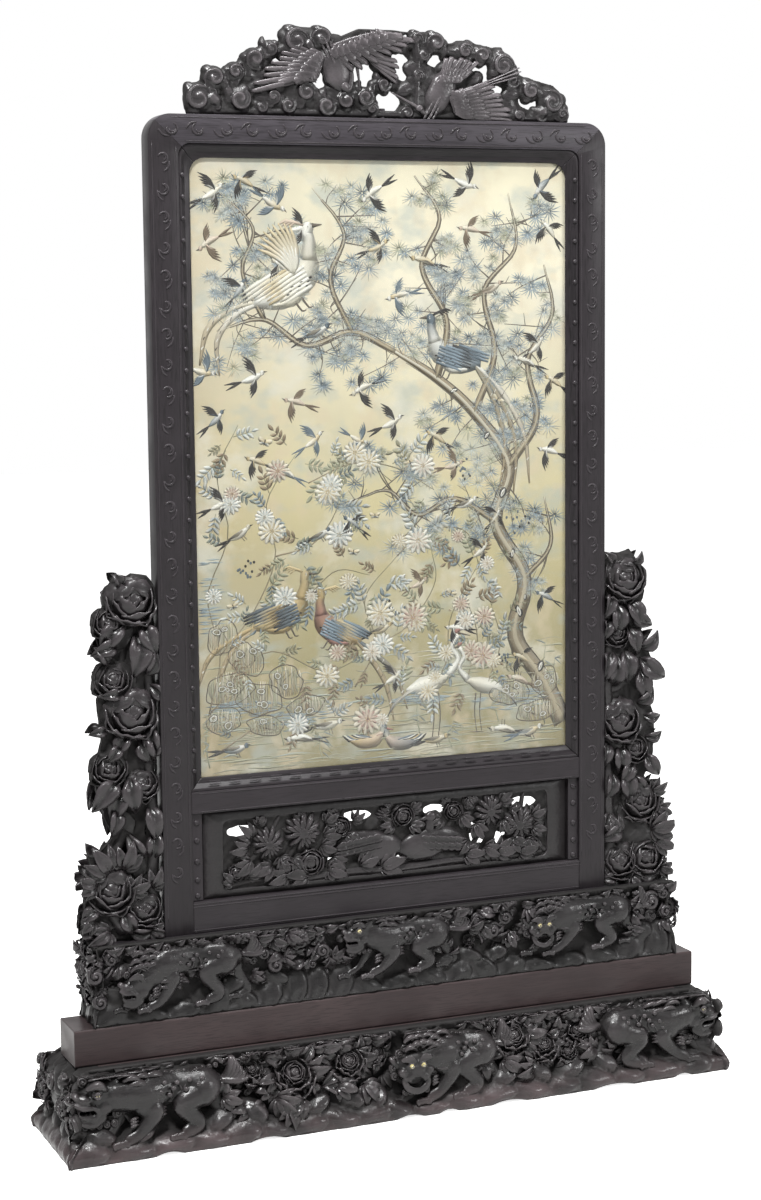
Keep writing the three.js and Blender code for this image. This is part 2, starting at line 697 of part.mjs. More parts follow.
const topCut = slab(shapeOf([
  [-mouldingOuterHalf + seat - 1, mouldingHigh + 1], [-mouldingOuterHalf + seat + cornerRun, mouldingHigh - cornerRun],
  [mouldingOuterHalf - seat - cornerRun, mouldingHigh - cornerRun], [mouldingOuterHalf - seat + 1, mouldingHigh + 1],
]), -frameFront, 0);
const bottomCut = slab(shapeOf([
  [-mouldingOuterHalf + seat - 1, mouldingLow - 1], [mouldingOuterHalf - seat + 1, mouldingLow - 1],
  [mouldingOuterHalf - seat - cornerRun, mouldingLow + cornerRun],
  [-mouldingOuterHalf + seat + cornerRun, mouldingLow + cornerRun],
]), -frameFront, 0);
const rightMoulding = mouldingRing.intersect(sideWedge);
place('moulding_right', rightMoulding, darkWood);
place('moulding_left', rightMoulding.mirror([1, 0, 0]), darkWood);
place('moulding_top', mouldingRing.intersect(topCut), darkWood);
place('moulding_bottom', mouldingRing.intersect(bottomCut), darkWood);

// What lies behind the moulding, from front to back

function stackedSheet(front, thickness) {
  const outline = roundTopOutline(mouldingOuterHalf, mouldingLow, mouldingHigh, innerRadius);
  return slab(outline, front, front + thickness, 5);
}

const glassFront = -mouldingBack + seat;
const silkFront = glassFront + glassThickness + seat;
const mountFront = silkFront + silkThickness + seat;
const backPanelFront = mountFront + mountBoardThickness + seat;
const stripFront = backPanelFront + backPanelThickness + seat;
place('glass_pane', stackedSheet(glassFront, glassThickness), clearGlass);
place('silk_picture', stackedSheet(silkFront, silkThickness), silkCloth);
place('silk_mount_board', stackedSheet(mountFront, mountBoardThickness), backWood);
place('back_panel', stackedSheet(backPanelFront, backPanelThickness), backWood);

const stripHigh = mouldingHigh - innerRadius;
place('back_strip_left', box(-mouldingOuterHalf, -mouldingOuterHalf + stripWidth, stripFront, frameFront,
  mouldingLow, stripHigh), backWood);
place('back_strip_right', box(mouldingOuterHalf - stripWidth, mouldingOuterHalf, stripFront, frameFront,
  mouldingLow, stripHigh), backWood);
place('back_strip_bottom', box(-mouldingOuterHalf + stripWidth + seat, mouldingOuterHalf - stripWidth - seat,
  stripFront, frameFront, mouldingLow, mouldingLow + stripWidth), backWood);
place('back_strip_top', box(-mouldingOuterHalf + innerRadius, mouldingOuterHalf - innerRadius,
  stripFront, frameFront, mouldingHigh - stripWidth, mouldingHigh), backWood);

// Pierced panel under the picture, between two short muntins

const apronLow = apronBottom + seat;
const apronHigh = apronTop - seat;
const muntinOuter = stileInner - seat;
const muntinInner = muntinOuter - muntinWidth;
place('apron_muntin_right', box(muntinInner, muntinOuter, -muntinThickness / 2, muntinThickness / 2,
  apronLow, apronHigh), darkWood);
place('apron_muntin_left', box(-muntinOuter, -muntinInner, -muntinThickness / 2, muntinThickness / 2,
  apronLow, apronHigh), darkWood);

const apronHalf = muntinInner - seat;
const windowHalf = apronHalf - apronMarginX;
const windowLow = apronLow + apronMarginLow;
const windowHigh = apronHigh - apronMarginTop;
const windowWidth = 2 * windowHalf;
const windowHeight = windowHigh - windowLow;

// Pond flowers, leaves and two ducks on a pierced ground. Places are shares of the window's width and height.
const apronHoles = [[0.06, 0.82, 30, 10, 0], [0.4, 0.88, 30, 9, 0], [0.64, 0.86, 22, 9, 0], [0.92, 0.84, 30, 10, 0],
  [0.775, 0.44, 15, 24, 0.2], [0.85, 0.36, 10, 16, -0.3], [0.9, 0.24, 9, 10, 0], [0.03, 0.2, 9, 14, 0.3],
  [0.33, 0.3, 12, 8, 0.5], [0.52, 0.2, 14, 7, -0.3], [0.52, 0.76, 10, 7, 0]];
const apronBlossoms = [[0.14, 0.6, 36], [0.26, 0.66, 38], [0.83, 0.76, 32], [0.93, 0.54, 28]];
const apronBodies = [[0.62, 0.46, 46, 26, 0.1], [0.64, 0.74, 16, 15, 0], [0.45, 0.46, 36, 20, -0.2],
  [0.12, 0.2, 44, 14, 0.2], [0.34, 0.12, 66, 12, 0.1], [0.7, 0.12, 64, 12, -0.1], [0.45, 0.74, 24, 14, 0.3]];
const inWindow = (u, v) => [-windowHalf + u * windowWidth, windowLow + v * windowHeight];
const apronHalfThickness = apronThickness / 2;
const apronHoleCuts = apronHoles.map(([u, v, rx, rz, tilt]) => {
  const [x, z] = inWindow(u, v);
  return pierced(x, z, rx, rz, tilt, apronThickness, 7);
});
const apronRelief = [
  ...apronBlossoms.map(([u, v, r]) => {
    const [x, z] = inWindow(u, v);
    return blossom(x, -apronRecess, z, r, apronHalfThickness + 5);
  }),
  ...apronBodies.map(([u, v, rx, rz, tilt]) => {
    const [x, z] = inWindow(u, v);
    return lump(x, -apronRecess, z, rx, apronHalfThickness + 4, rz, tilt, 7);
  }),
];
const apronWindow = box(-windowHalf, windowHalf, -apronThickness, -apronHalfThickness + apronRecess,
  windowLow, windowHigh);
const apronBoard = box(-apronHalf, apronHalf, -apronHalfThickness, apronHalfThickness, apronLow, apronHigh)
  .subtract(apronWindow);
const apronLimits = box(-apronHalf, apronHalf, -apronThickness, apronHalfThickness, apronLow, apronHigh);
const apronSolid = without(apronBoard, apronHoleCuts).add(joined(apronRelief)).intersect(apronLimits);
place('apron_panel', apronSolid.simplify(carvingTolerance), darkWood);

// Side wings: a pierced board with the outline of the carving, and peony heads and leaves standing out
// from both faces. Shares run out from the stile and up from the plinth.

const wingOutline = [[0, 0], [0.86, 0], [0.98, 0.04], [1, 0.14], [0.92, 0.21], [0.82, 0.25], [0.62, 0.29],
  [0.72, 0.34], [0.82, 0.42], [0.81, 0.5], [0.72, 0.56], [0.76, 0.62], [0.77, 0.67], [0.64, 0.74], [0.58, 0.8],
  [0.66, 0.87], [0.62, 0.93], [0.42, 0.99], [0.18, 1], [0, 0.97]];
const wingHoles = [[0.1, 0.86, 7, 15, 0], [0.32, 0.825, 5, 8, 0.3], [0.07, 0.67, 6, 14, 0], [0.42, 0.585, 5, 7, 0],
  [0.38, 0.325, 5, 10, 0.2], [0.5, 0.25, 12, 20, 0.1], [0.1, 0.47, 6, 12, 0], [0.12, 0.3, 7, 14, 0]];
const wingBlossoms = [[0.32, 0.93, 46], [0.36, 0.65, 46], [0.58, 0.49, 38], [0.24, 0.42, 30],
  [0.66, 0.14, 46], [0.24, 0.08, 36]];
const wingLeaves = [[0.44, 0.83, 70, -0.9], [0.4, 0.745, 66, 0.8], [0.66, 0.4, 66, 2.9], [0.42, 0.33, 62, 0.4],
  [0.78, 0.22, 60, 0.9], [0.28, 0.2, 64, -0.2], [0.78, 0.04, 62, 1.6]];
const wingRoot = stileOuter + seat;
const inWing = ([u, v]) => [wingRoot + u * wingWidth, frameBottom + v * wingHeight];
const wingHalfThickness = wingThickness / 2;
const wingBoard = slab(shapeOf(wingOutline.map(inWing)), -wingHalfThickness * 0.6, wingHalfThickness * 0.6);
const wingPiercings = wingHoles.map(([u, v, rx, rz, tilt]) => {
  const [x, z] = inWing([u, v]);
  return pierced(x, z, rx, rz, tilt, wingThickness, 6);
});
const wingParts = [
  without(wingBoard, wingPiercings),
  ...wingBlossoms.map(([u, v, r]) => blossom(inWing([u, v])[0], 0, inWing([u, v])[1], r, wingHalfThickness + 6)),
  ...wingLeaves.map(([u, v, size, angle]) => leaf(inWing([u, v])[0], 0, inWing([u, v])[1], size, size * 0.56,
    wingThickness, angle)),
];
const wingLimits = box(wingRoot, wingRoot + wingWidth + 6, -wingThickness, wingThickness,
  frameBottom, frameBottom + wingHeight + 6);
const wingTenon = box(wingTenonCentre - wingTenonWidth / 2, wingTenonCentre + wingTenonWidth / 2,
  -wingTenonThickness / 2, wingTenonThickness / 2, plinthTop - wingTenonLength, frameBottom + 2);
const rightWing = joined(wingParts).intersect(wingLimits).simplify(carvingTolerance).add(wingTenon);
place('right_wing', rightWing, darkWood);
place('left_wing', rightWing.mirror([1, 0, 0]), darkWood);

// Crest: a pierced board with two cranes among clouds, standing on the top rail on three dowels

const crestOutline = [[0.03, 0], [0.005, 0.14], [0.03, 0.36], [0.075, 0.48], [0.15, 0.56], [0.17, 0.68],
  [0.235, 0.76], [0.25, 0.94], [0.29, 1], [0.345, 0.99], [0.375, 0.85], [0.41, 0.86], [0.46, 1], [0.62, 0.98],
  [0.66, 0.87], [0.73, 0.9], [0.79, 0.85], [0.825, 0.76], [0.84, 0.62], [0.88, 0.53], [0.965, 0.44], [1, 0.2],
  [0.965, 0]];
const crestHoleSpots = [[0.09, 0.2, 12, 10, 0], [0.166, 0.2, 12, 10, 0], [0.225, 0.62, 13, 7, 0.2],
  [0.325, 0.36, 19, 22, 0], [0.455, 0.45, 22, 19, 0.3], [0.515, 0.19, 20, 15, 0], [0.57, 0.84, 11, 11, 0],
  [0.55, 0.58, 15, 22, 0.4], [0.645, 0.68, 20, 11, 0], [0.775, 0.6, 24, 24, -0.6], [0.8, 0.32, 14, 8, 0.2],
  [0.896, 0.26, 21, 14, 0.1]];
const crestCurls = [[0.05, 0.2, 24, 24], [0.11, 0.42, 28, 16], [0.195, 0.62, 20, 14], [0.28, 0.84, 30, 24],
  [0.24, 0.15, 34, 20], [0.37, 0.13, 40, 20], [0.62, 0.92, 26, 14], [0.715, 0.85, 28, 12], [0.81, 0.74, 18, 22],
  [0.86, 0.47, 30, 12], [0.96, 0.24, 26, 28]];
const crestWings = [
  // wings and tails of the cranes: place, length, width, lean
  [0.47, 0.9, 160, 36, 1.45], [0.215, 0.44, 140, 36, -1.95], [0.5, 0.74, 88, 34, 1.9],
  [0.715, 0.66, 84, 36, 0.45], [0.75, 0.28, 130, 42, 1.65],
];
const crestBodies = [[0.405, 0.66, 52, 22, 0.6], [0.37, 0.48, 20, 26, 0.2], [0.62, 0.44, 26, 44, 0.5],
  [0.585, 0.17, 22, 12, 0.3]];
const inCrest = ([u, v]) => [-crestWidth / 2 + u * crestWidth, crestBottom + v * crestHeight];
const crestHalfThickness = crestThickness / 2;
const crestBoard = slab(shapeOf(crestOutline.map(inCrest)), -crestHalfThickness * 0.6, crestHalfThickness * 0.6);
const crestPiercings = crestHoleSpots.map(([u, v, rx, rz, tilt]) => {
  const [x, z] = inCrest([u, v]);
  return pierced(x, z, rx, rz, tilt, crestThickness, 7);
});
const crestParts = [
  ...crestCurls.map(([u, v, rx, rz]) => lump(inCrest([u, v])[0], 0, inCrest([u, v])[1], rx, crestHalfThickness,
    rz)),
  ...crestBodies.map(([u, v, rx, rz, tilt]) => lump(inCrest([u, v])[0], 0, inCrest([u, v])[1], rx,
    crestHalfThickness + 4, rz, tilt, 7)),
  ...crestWings.map(([u, v, length, width, angle]) => leaf(inCrest([u, v])[0], 0, inCrest([u, v])[1], length,
    width, crestThickness * 0.84, angle)),
];
const crestLimits = box(-crestWidth / 2 - 4, crestWidth / 2 + 4, -crestThickness, crestThickness, crestBottom,
  crestBottom + crestHeight);
const crestHoles = dowelCentres.map((x) => dowel(x, crestBottom - 1, crestBottom + dowelDepth * 0.6 + seat,
  dowelRadius + seat));
const crestSolid = without(joined([crestBoard, ...crestParts]), crestPiercings).intersect(crestLimits);
place('crest_carving', without(crestSolid.simplify(carvingTolerance), crestHoles), darkWood);
['left', 'middle', 'right'].forEach((name, i) => {
  const pin = dowel(dowelCentres[i], frameTop - dowelDepth, crestBottom + dowelDepth * 0.6, dowelRadius);
  place(`crest_dowel_${name}`, pin, backWood);
});

export default screen;
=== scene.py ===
import math
import random

import bpy
import numpy as np
from mathutils import Euler, Matrix, Vector


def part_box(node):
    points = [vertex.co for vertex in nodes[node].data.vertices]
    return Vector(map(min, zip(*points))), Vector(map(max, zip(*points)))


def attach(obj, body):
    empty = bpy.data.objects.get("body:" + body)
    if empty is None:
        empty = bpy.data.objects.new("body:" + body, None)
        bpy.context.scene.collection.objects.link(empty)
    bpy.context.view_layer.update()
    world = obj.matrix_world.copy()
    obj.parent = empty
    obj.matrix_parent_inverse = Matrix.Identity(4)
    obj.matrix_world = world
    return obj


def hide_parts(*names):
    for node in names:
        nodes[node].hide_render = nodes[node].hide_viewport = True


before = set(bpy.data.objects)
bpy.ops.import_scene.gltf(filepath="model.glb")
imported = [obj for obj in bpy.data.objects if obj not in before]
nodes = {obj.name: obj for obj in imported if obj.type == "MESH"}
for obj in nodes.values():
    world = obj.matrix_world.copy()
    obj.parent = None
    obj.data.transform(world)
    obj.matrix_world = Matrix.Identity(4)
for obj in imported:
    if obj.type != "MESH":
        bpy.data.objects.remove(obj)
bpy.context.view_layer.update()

# Carved hardwood floor screen with an embroidered silk picture. Forms are shaped in millimetres in the
# frame of the part (X right, -Y out of the front, Z up) and brought to metres when they become pieces.

MM = 0.001
TAU = 2 * math.pi
MOST_TRIANGLES = 188_000


# Forms: points with faces of four corners, where a triangle repeats its last corner

class Form:
    def __init__(self, points, faces):
        self.points = np.asarray(points, float).reshape(-1, 3)
        self.faces = np.asarray(faces, int).reshape(-1, 4)

    def put(self, at=(0, 0, 0), turn=(0, 0, 0), size=1.0, flip=False):
        points, faces = self.points * size, self.faces
        if flip:
            points = points * (-1, 1, 1)
            triangle = (faces[:, 2] == faces[:, 3])[:, None]
            faces = np.where(triangle, faces[:, [0, 2, 1, 1]], faces[:, ::-1])
        turned = points @ np.array(Euler(turn).to_matrix()).T
        return Form(turned + np.asarray(at, float), faces)

    def spun(self, turn, size=1.0, flip=False):
        return self.put((0, 0, 0), turn, size, flip)

    def moved(self, rule):
        return Form(rule(self.points.copy()), self.faces)

    def mirrored(self):
        return Form(self.points * (1, -1, 1), self.faces[:, ::-1])


def joined(forms):
    points, faces, start = [], [], 0
    for form in forms:
        points.append(form.points)
        faces.append(form.faces + start)
        start += len(form.points)
    return Form(np.vstack(points), np.vstack(faces))


def span(name):
    """The low and high corners of a solid of the part"""
    low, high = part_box(name)
    return np.array(low) / MM, np.array(high) / MM


def to_object(name, form, scale=MM):
    """An object with the mesh of a form, smooth shaded"""
    triangle = form.faces[:, 2] == form.faces[:, 3]
    sizes = np.where(triangle, 3, 4)
    keep = np.ones(form.faces.shape, bool)
    keep[triangle, 3] = False
    corners = form.faces[keep]
    starts = np.concatenate([[0], np.cumsum(sizes)[:-1]])
    mesh = bpy.data.meshes.new(name)
    mesh.vertices.add(len(form.points))
    mesh.vertices.foreach_set("co", (form.points * scale).astype(np.float32).ravel())
    mesh.loops.add(len(corners))
    mesh.loops.foreach_set("vertex_index", corners.astype(np.int32))
    mesh.polygons.add(len(sizes))
    mesh.polygons.foreach_set("loop_start", starts.astype(np.int32))
    mesh.update(calc_edges=True)
    mesh.validate()
    mesh.polygons.foreach_set("use_smooth", np.ones(len(mesh.polygons), bool))
    thing = bpy.data.objects.new(name, mesh)
    bpy.context.scene.collection.objects.link(thing)
    return thing


def from_object(thing):
    """The form of an object, which is then removed"""
    mesh = thing.data
    points = np.empty(len(mesh.vertices) * 3)
    mesh.vertices.foreach_get("co", points)
    faces = []
    for polygon in mesh.polygons:
        c = list(polygon.vertices)
        if len(c) == 4:
            faces.append(c)
        else:
            faces.extend([c[0], c[i], c[i + 1], c[i + 1]] for i in range(1, len(c) - 1))
    bpy.data.objects.remove(thing)
    bpy.data.meshes.remove(mesh)
    return Form(points, faces)


def pick(thing):
    bpy.ops.object.select_all(action="DESELECT")
    thing.select_set(True)
    bpy.context.view_layer.objects.active = thing


def apply_modifier(thing, kind, **settings):
    pick(thing)
    modifier = thing.modifiers.new(kind.lower(), kind)
    for key, value in settings.items():
        setattr(modifier, key, value)
    bpy.ops.object.modifier_apply(modifier=modifier.name)


def merge_doubles(threshold, outwards=False):
    """Welds the points of the active object that meet"""
    bpy.ops.object.mode_set(mode="EDIT")
    bpy.ops.mesh.select_all(action="SELECT")
    bpy.ops.mesh.remove_doubles(threshold=threshold)
    if outwards:
        bpy.ops.mesh.normals_make_consistent(inside=False)
    bpy.ops.object.mode_set(mode="OBJECT")


def copy_of(node):
    """A free copy of a solid of the part, its doubles merged"""
    thing = nodes[node].copy()
    thing.data = nodes[node].data.copy()
    thing.name = node + "_finished"
    for key in list(thing.keys()):
        del thing[key]
    thing.parent = None
    bpy.context.scene.collection.objects.link(thing)
    pick(thing)
    merge_doubles(1e-5)
    return thing


def woven(columns, rows, rule, thick=0.0):
    """A grid primitive whose points are moved by rule(u, v), with u and v from 0 to 1. Edges that meet are
    merged."""
    bpy.ops.object.select_all(action="DESELECT")
    bpy.ops.mesh.primitive_grid_add(x_subdivisions=columns, y_subdivisions=rows, size=1)
    grid = bpy.context.object
    co = np.empty(len(grid.data.vertices) * 3)
    grid.data.vertices.foreach_get("co", co)
    co = co.reshape(-1, 3) + 0.5
    grid.data.vertices.foreach_set("co", rule(co[:, 0], co[:, 1]).astype(np.float32).ravel())
    merge_doubles(1e-4, outwards=True)
    if thick:
        apply_modifier(grid, "SOLIDIFY", thickness=thick, offset=0)
    return from_object(grid)


def fused(forms, voxel, soften):
    """Forms grown together into one skin, as if cut from one block"""
    thing = to_object("fused", joined(forms), 1.0)
    apply_modifier(thing, "REMESH", mode="VOXEL", voxel_size=voxel)
    apply_modifier(thing, "SMOOTH", factor=0.5, iterations=soften)
    return from_object(thing)


# Routes and tubes

def direction(path):
    along = np.gradient(path, axis=0)
    return along / (np.linalg.norm(along, axis=1, keepdims=True) + 1e-9)


def distance_along(path):
    return np.concatenate([[0], np.cumsum(np.linalg.norm(np.diff(path, axis=0), axis=1))])


def spread(values, t):
    """Values given at even steps of t from 0 to 1, read between them"""
    return np.interp(t, np.linspace(0, 1, len(values)), values)


def route_through(points, t):
    """Points of a soft curve through the given points, at t from 0 to 1"""
    points = np.array(points, float)
    ends = np.vstack([2 * points[0] - points[1], points, 2 * points[-1] - points[-2]])
    t = np.asarray(t) * (len(points) - 1)
    i = np.minimum(t.astype(int), len(points) - 2)
    f = (t - i)[:, None]
    a, b, c, d = (ends[i + k] for k in range(4))
    return 0.5 * (2 * b + (c - a) * f + (2 * a - 5 * b + 4 * c - d) * f**2 + (3 * b - a - 3 * c + d) * f**3)


def tube(points, radii, sides=8, steps=None, flat=1.0, ridges=0, ridge=0.0):
    """A limb, stem or lock: a tube with a radius that changes along a soft curve, and rounded ends"""
    steps = steps or 4 * len(points) + 4
    s = np.linspace(0, 1, steps + 1)
    t = 0.65 * s + 0.35 * (0.5 - 0.5 * np.cos(math.pi * s))
    line = route_through(points, t)
    width = spread(radii, t)
    along = direction(line)
    across = np.cross(along, (0.0, 1.0, 0.02))
    across /= np.linalg.norm(across, axis=1, keepdims=True) + 1e-9
    front = np.cross(across, along)
    run = distance_along(line)
    end = np.clip(np.minimum(run, run[-1] - run) / (width + 1e-6), 0, 1)
    width = width * np.sqrt(1 - (1 - end) ** 2)

    def rule(u, v):
        j = np.rint(v * steps).astype(int)
        angle = TAU * u
        w = (width[j] * (1 + ridge * np.cos(ridges * angle)))[:, None]
        return line[j] + w * (np.cos(angle)[:, None] * across[j] + flat * np.sin(angle)[:, None] * front[j])

    return woven(sides, steps, rule)


BALLS = {}


def ball(at, radii, turn=(0, 0, 0), sides=14, rings=9):
    """A rounded mass, with its poles to the front and back"""
    def rule(u, v):
        a, b = TAU * u, math.pi * v
        return np.stack([np.sin(b) * np.cos(a), -np.cos(b), np.sin(b) * np.sin(a)], 1)

    key = (sides, rings)
    if key not in BALLS:
        BALLS[key] = woven(sides, rings, rule)
    return BALLS[key].put(at, turn, np.asarray(radii, float))


# Motifs of the carver, made once at unit size and copied. Fronts face -Y.

def blade_of(columns, rows, thick, rule):
    """A petal or leaf. rule(side, v) takes side from -1 to 1 across it and v from its foot to its tip."""
    return woven(columns, rows, lambda u, v: np.stack(rule(2 * u - 1, v), 1), thick)


def make_petal(radius, tip, wide, flare, lobes):
    """A cupped petal of a globe flower that opens to the front: a patch of a round shell, from below its
    middle up to the polar angle tip, its rim lobed and curled out"""
    def rule(side, v):
        end = tip + 0.34 * np.abs(side) ** 2.4 - 0.07 * np.cos(side * lobes * math.pi)
        polar = 2.35 + (end - 2.35) * v
        turn = wide * side * (0.35 + 0.65 * np.sin(np.clip(v * 1.2, 0, 1) * math.pi / 2))
        lip = np.clip((v - 0.7) / 0.3, 0, 1) ** 2
        r = radius * (1 + flare * lip - 0.05 * side**2 * v + 0.022 * np.cos(side * 8) * v)
        return r * np.sin(polar) * np.sin(turn), -0.92 * r * np.cos(polar), r * np.sin(polar) * np.cos(turn)

    return blade_of(8, 6, 0.055, rule)


def saucer_rule(side, v):
    """An outer petal that lies open, facing the front, its rim curled forwards"""
    wide = 0.14 + 0.46 * np.sin(np.clip(v, 0, 1) ** 0.8 * math.pi * 0.62) * np.sqrt(np.clip(1.05 - v**6, 0,
                                                                                            1))
    out = 0.10 + 0.98 * v * (1 - 0.16 * side**2 * v) + 0.02 * v * np.cos(side * 8)
    return side * wide, 0.34 - 0.22 * v**2.2 - 0.30 * side**2 * v + 0.30 * (1 - v) * v, out


SAUCER = blade_of(6, 5, 0.06, saucer_rule)


def make_peony(seed):
    """A full round flower: a few open petals, then rings of cupped ones that close over a ball"""
    dice = random.Random(seed)
    forms = [ball((0, -0.1, 0), (0.40, 0.42, 0.40), sides=12, rings=7)]
    start = dice.random()
    for k in range(5):
        opened = SAUCER.put((0, 0.10, 0), (dice.uniform(-0.1, 0.15), 0, 0), dice.uniform(0.98, 1.16))
        forms.append(opened.spun((0, TAU * (k + start) / 5 + dice.uniform(-0.2, 0.2), 0)))
    for count, radius, tip, wide, flare in ((5, 0.92, 1.30, 0.78, 0.14), (5, 0.79, 0.98, 0.80, 0.12),
                                            (4, 0.65, 0.70, 0.95, 0.10), (3, 0.50, 0.38, 1.15, 0.08)):
        start = dice.random()
        for k in range(count):
            petal = make_petal(radius * dice.uniform(0.96, 1.04), tip + dice.uniform(-0.16, 0.12), wide,
                               flare, dice.choice((1.4, 2.0, 2.6)))
            spin = TAU * (k + start) / count + dice.uniform(-0.16, 0.16)
            forms.append(petal.put((0, -0.02, 0), (dice.uniform(-0.08, 0.08), 0, 0)).spun((0, spin, 0)))
    return joined(forms)


def make_open_peony(seed):
    """An open flower: two rings of broad lobed petals about a small full heart"""
    dice = random.Random(seed)
    saucer = SAUCER.moved(lambda p: p * (1.15, 1.1, 1))
    forms = [make_peony(seed + 1).put((0, -0.22, 0), (0, 0, 0), 0.50)]
    for count, size, lift, lean in ((6, 1.0, 0.0, 0.0), (5, 0.76, -0.16, 0.25)):
        start = dice.random()
        for k in range(count):
            leaned = (lean + dice.uniform(-0.12, 0.12), 0, 0)
            petal = saucer.put((0, lift, 0), leaned, size * dice.uniform(0.92, 1.1))
            forms.append(petal.spun((0, TAU * (k + start) / count + dice.uniform(-0.15, 0.15), 0)))
    return joined(forms)


def make_leaf(columns, rows):
    """A long pointed leaf with a sunk midrib, a few shallow teeth and a bent tip, its foot at the origin"""
    def rule(side, v):
        teeth = 1 + 0.07 * ((v * 5) % 1.0) * (v > 0.25)
        wide = 0.29 * np.sin(math.pi * np.clip(v, 0, 1) ** 0.84) ** 0.9 * teeth + 0.012
        fold = -0.15 * np.sin(math.pi * np.clip(np.abs(side), 0, 1) * 0.72) * (0.3 + 2.2 * wide)
        bend = -0.20 * np.sin(math.pi * v * 0.95) + 0.22 * v**2.5
        return side * wide + 0.06 * np.sin(v * 3), fold + bend + 0.10, v

    return blade_of(columns, rows, 0.045, rule)


def make_spray(blades, columns, rows):
    """A leaf cut into pointed fingers, each with its own crease"""
    def rule(side, v):
        wide = 0.20 * np.sin(math.pi * np.clip(v, 0, 1) ** 0.85) ** 0.8 + 0.014
        fold = -0.11 * np.abs(side) ** 1.2 * np.sin(math.pi * np.clip(v, 0, 1))
        return side * wide, fold - 0.16 * np.sin(math.pi * v * 0.9) + 0.16 * v**2, v

    finger = blade_of(columns, rows, 0.05, rule)
    forms = []
    for k in range(blades):
        share = 2 * k / (blades - 1) - 1
        size = 1.0 - 0.34 * abs(share) ** 1.3
        forms.append(finger.put((0.02 * share, 0.06 * abs(share), 0.05), (0, 1.15 * share, 0), size))
    return joined(forms)


def make_curl(turns=1.6):
    """A snail curl, as in manes and clouds, rising to a bead in the middle"""
    t = np.linspace(0, 1, 26)
    angle = TAU * turns * t + 0.6
    reach = 0.78 * (1 - 0.86 * t)
    spiral = np.stack([reach * np.cos(angle), -0.08 - 0.40 * t, reach * np.sin(angle)], 1)
    return joined([tube(spiral, [0.10, 0.25, 0.23, 0.20, 0.17, 0.14], sides=7, steps=34),
                   ball((0, -0.42, 0), (0.17, 0.2, 0.17), sides=8, rings=5),
                   ball((0, 0.05, 0), (0.82, 0.36, 0.82), sides=12, rings=6)])


def feather_rule(side, v):
    """A narrow blade with a raised quill, foot at the origin, tip up and pointed"""
    wide = 0.062 * np.sqrt(np.clip(1 - v**5, 0, 1)) * (0.62 + 0.5 * v) + 0.003
    quill = -0.045 * np.exp(-((side * 2.2) ** 2)) - 0.010 * np.cos(v * 50 - np.abs(side) * 4) * np.abs(side)
    return side * wide, quill + 0.045 * side**2 - 0.06 * np.sin(math.pi * v), v


def make_daisy():
    """A chrysanthemum: four rings of round-tipped petals over a dome"""
    def rule(side, v):
        wide = 0.125 * np.sin(math.pi * np.clip(v * 0.93, 0, 1) ** 1.1) ** 0.7 + 0.008
        return side * wide, 0.10 * side**2 - 0.20 * np.sin(math.pi * v * 0.8) + 0.30 * v**2, v

    blade = blade_of(4, 6, 0.06, rule)
    forms = [ball((0, -0.30, 0), (0.26, 0.18, 0.26), sides=10, rings=5)]
    for count, size, lean, lift in ((13, 1.0, 0.0, 0.0), (11, 0.80, 0.15, -0.1), (9, 0.58, 0.35, -0.18),
                                    (7, 0.40, 0.7, -0.24)):
        for k in range(count):
            leaned = blade.put((0, 0, 0.04), (lean, 0, 0), size)
            forms.append(leaned.put((0, lift, 0), (0, TAU * (k + 0.5 * (count % 4 == 1)) / count, 0)))
    return joined(forms)


PEONIES = [make_peony(seed) for seed in (3, 8, 21)]
OPEN_PEONIES = [make_open_peony(seed) for seed in (5, 12, 30)]
LEAF = make_leaf(6, 12)
BROAD, BROAD_LIGHT = (form.moved(lambda p: p * (0.98, 1.2, 1)) for form in (LEAF, make_leaf(4, 6)))
SPRAY = make_spray(5, 4, 6)
SPRAY_LIGHT = make_spray(5, 2, 4)
CURL = make_curl()
PEONY_LIGHT = joined([SAUCER.spun((0, TAU * k / 5, 0)) for k in range(5)]
                     + [ball((0, -0.14, 0), (0.4, 0.34, 0.4), sides=10, rings=6)])
FEATHER = blade_of(6, 12, 0.03, feather_rule)
DAISY = make_daisy()


def leaf(at, length, angle, tilt=0.0, twist=0.0, form=SPRAY):
    """A leaf that grows from at, turned clockwise by angle from straight up as seen from the front"""
    return form.spun((tilt, 0, twist), length).put(at, (0, angle, 0))


def curl(at, radius, spin=0.0, flip=False):
    return CURL.spun((0, spin, 0), radius, flip).put(at, (0, 0, 0))


# Finishes

def hexed(code):
    """A colour as written, in the renderer's own linear numbers"""
    parts = [int(code[i:i + 2], 16) / 255 for i in (0, 2, 4)]
    return tuple(p / 12.92 if p <= 0.04045 else ((p + 0.055) / 1.055) ** 2.4 for p in parts) + (1.0,)


class Nodes:
    """A node tree that is built by short calls"""

    def __init__(self, tree):
        self.tree = tree

    def feed(self, socket, value):
        if isinstance(value, bpy.types.NodeSocket):
            self.tree.links.new(value, socket)
        else:
            socket.default_value = value

    def node(self, kind, inputs=None, **settings):
        made = self.tree.nodes.new("ShaderNode" + kind)
        for key, value in settings.items():
            setattr(made, key, value)
        for key, value in (inputs or {}).items():
            self.feed(made.inputs[key], value)
        return made

    def math(self, operation, a, b):
        return self.node("Math", {0: a, 1: b}, operation=operation).outputs[0]

    def camera_rays(self):
        """1 for rays of the camera, and 1 for those by way of a reflection or through glass too"""
        path = self.node("LightPath").outputs
        seen = self.math("MAXIMUM", path["Is Camera Ray"], path["Is Glossy Ray"])
        return path["Is Camera Ray"], self.math("MAXIMUM", seen, path["Is Transmission Ray"])


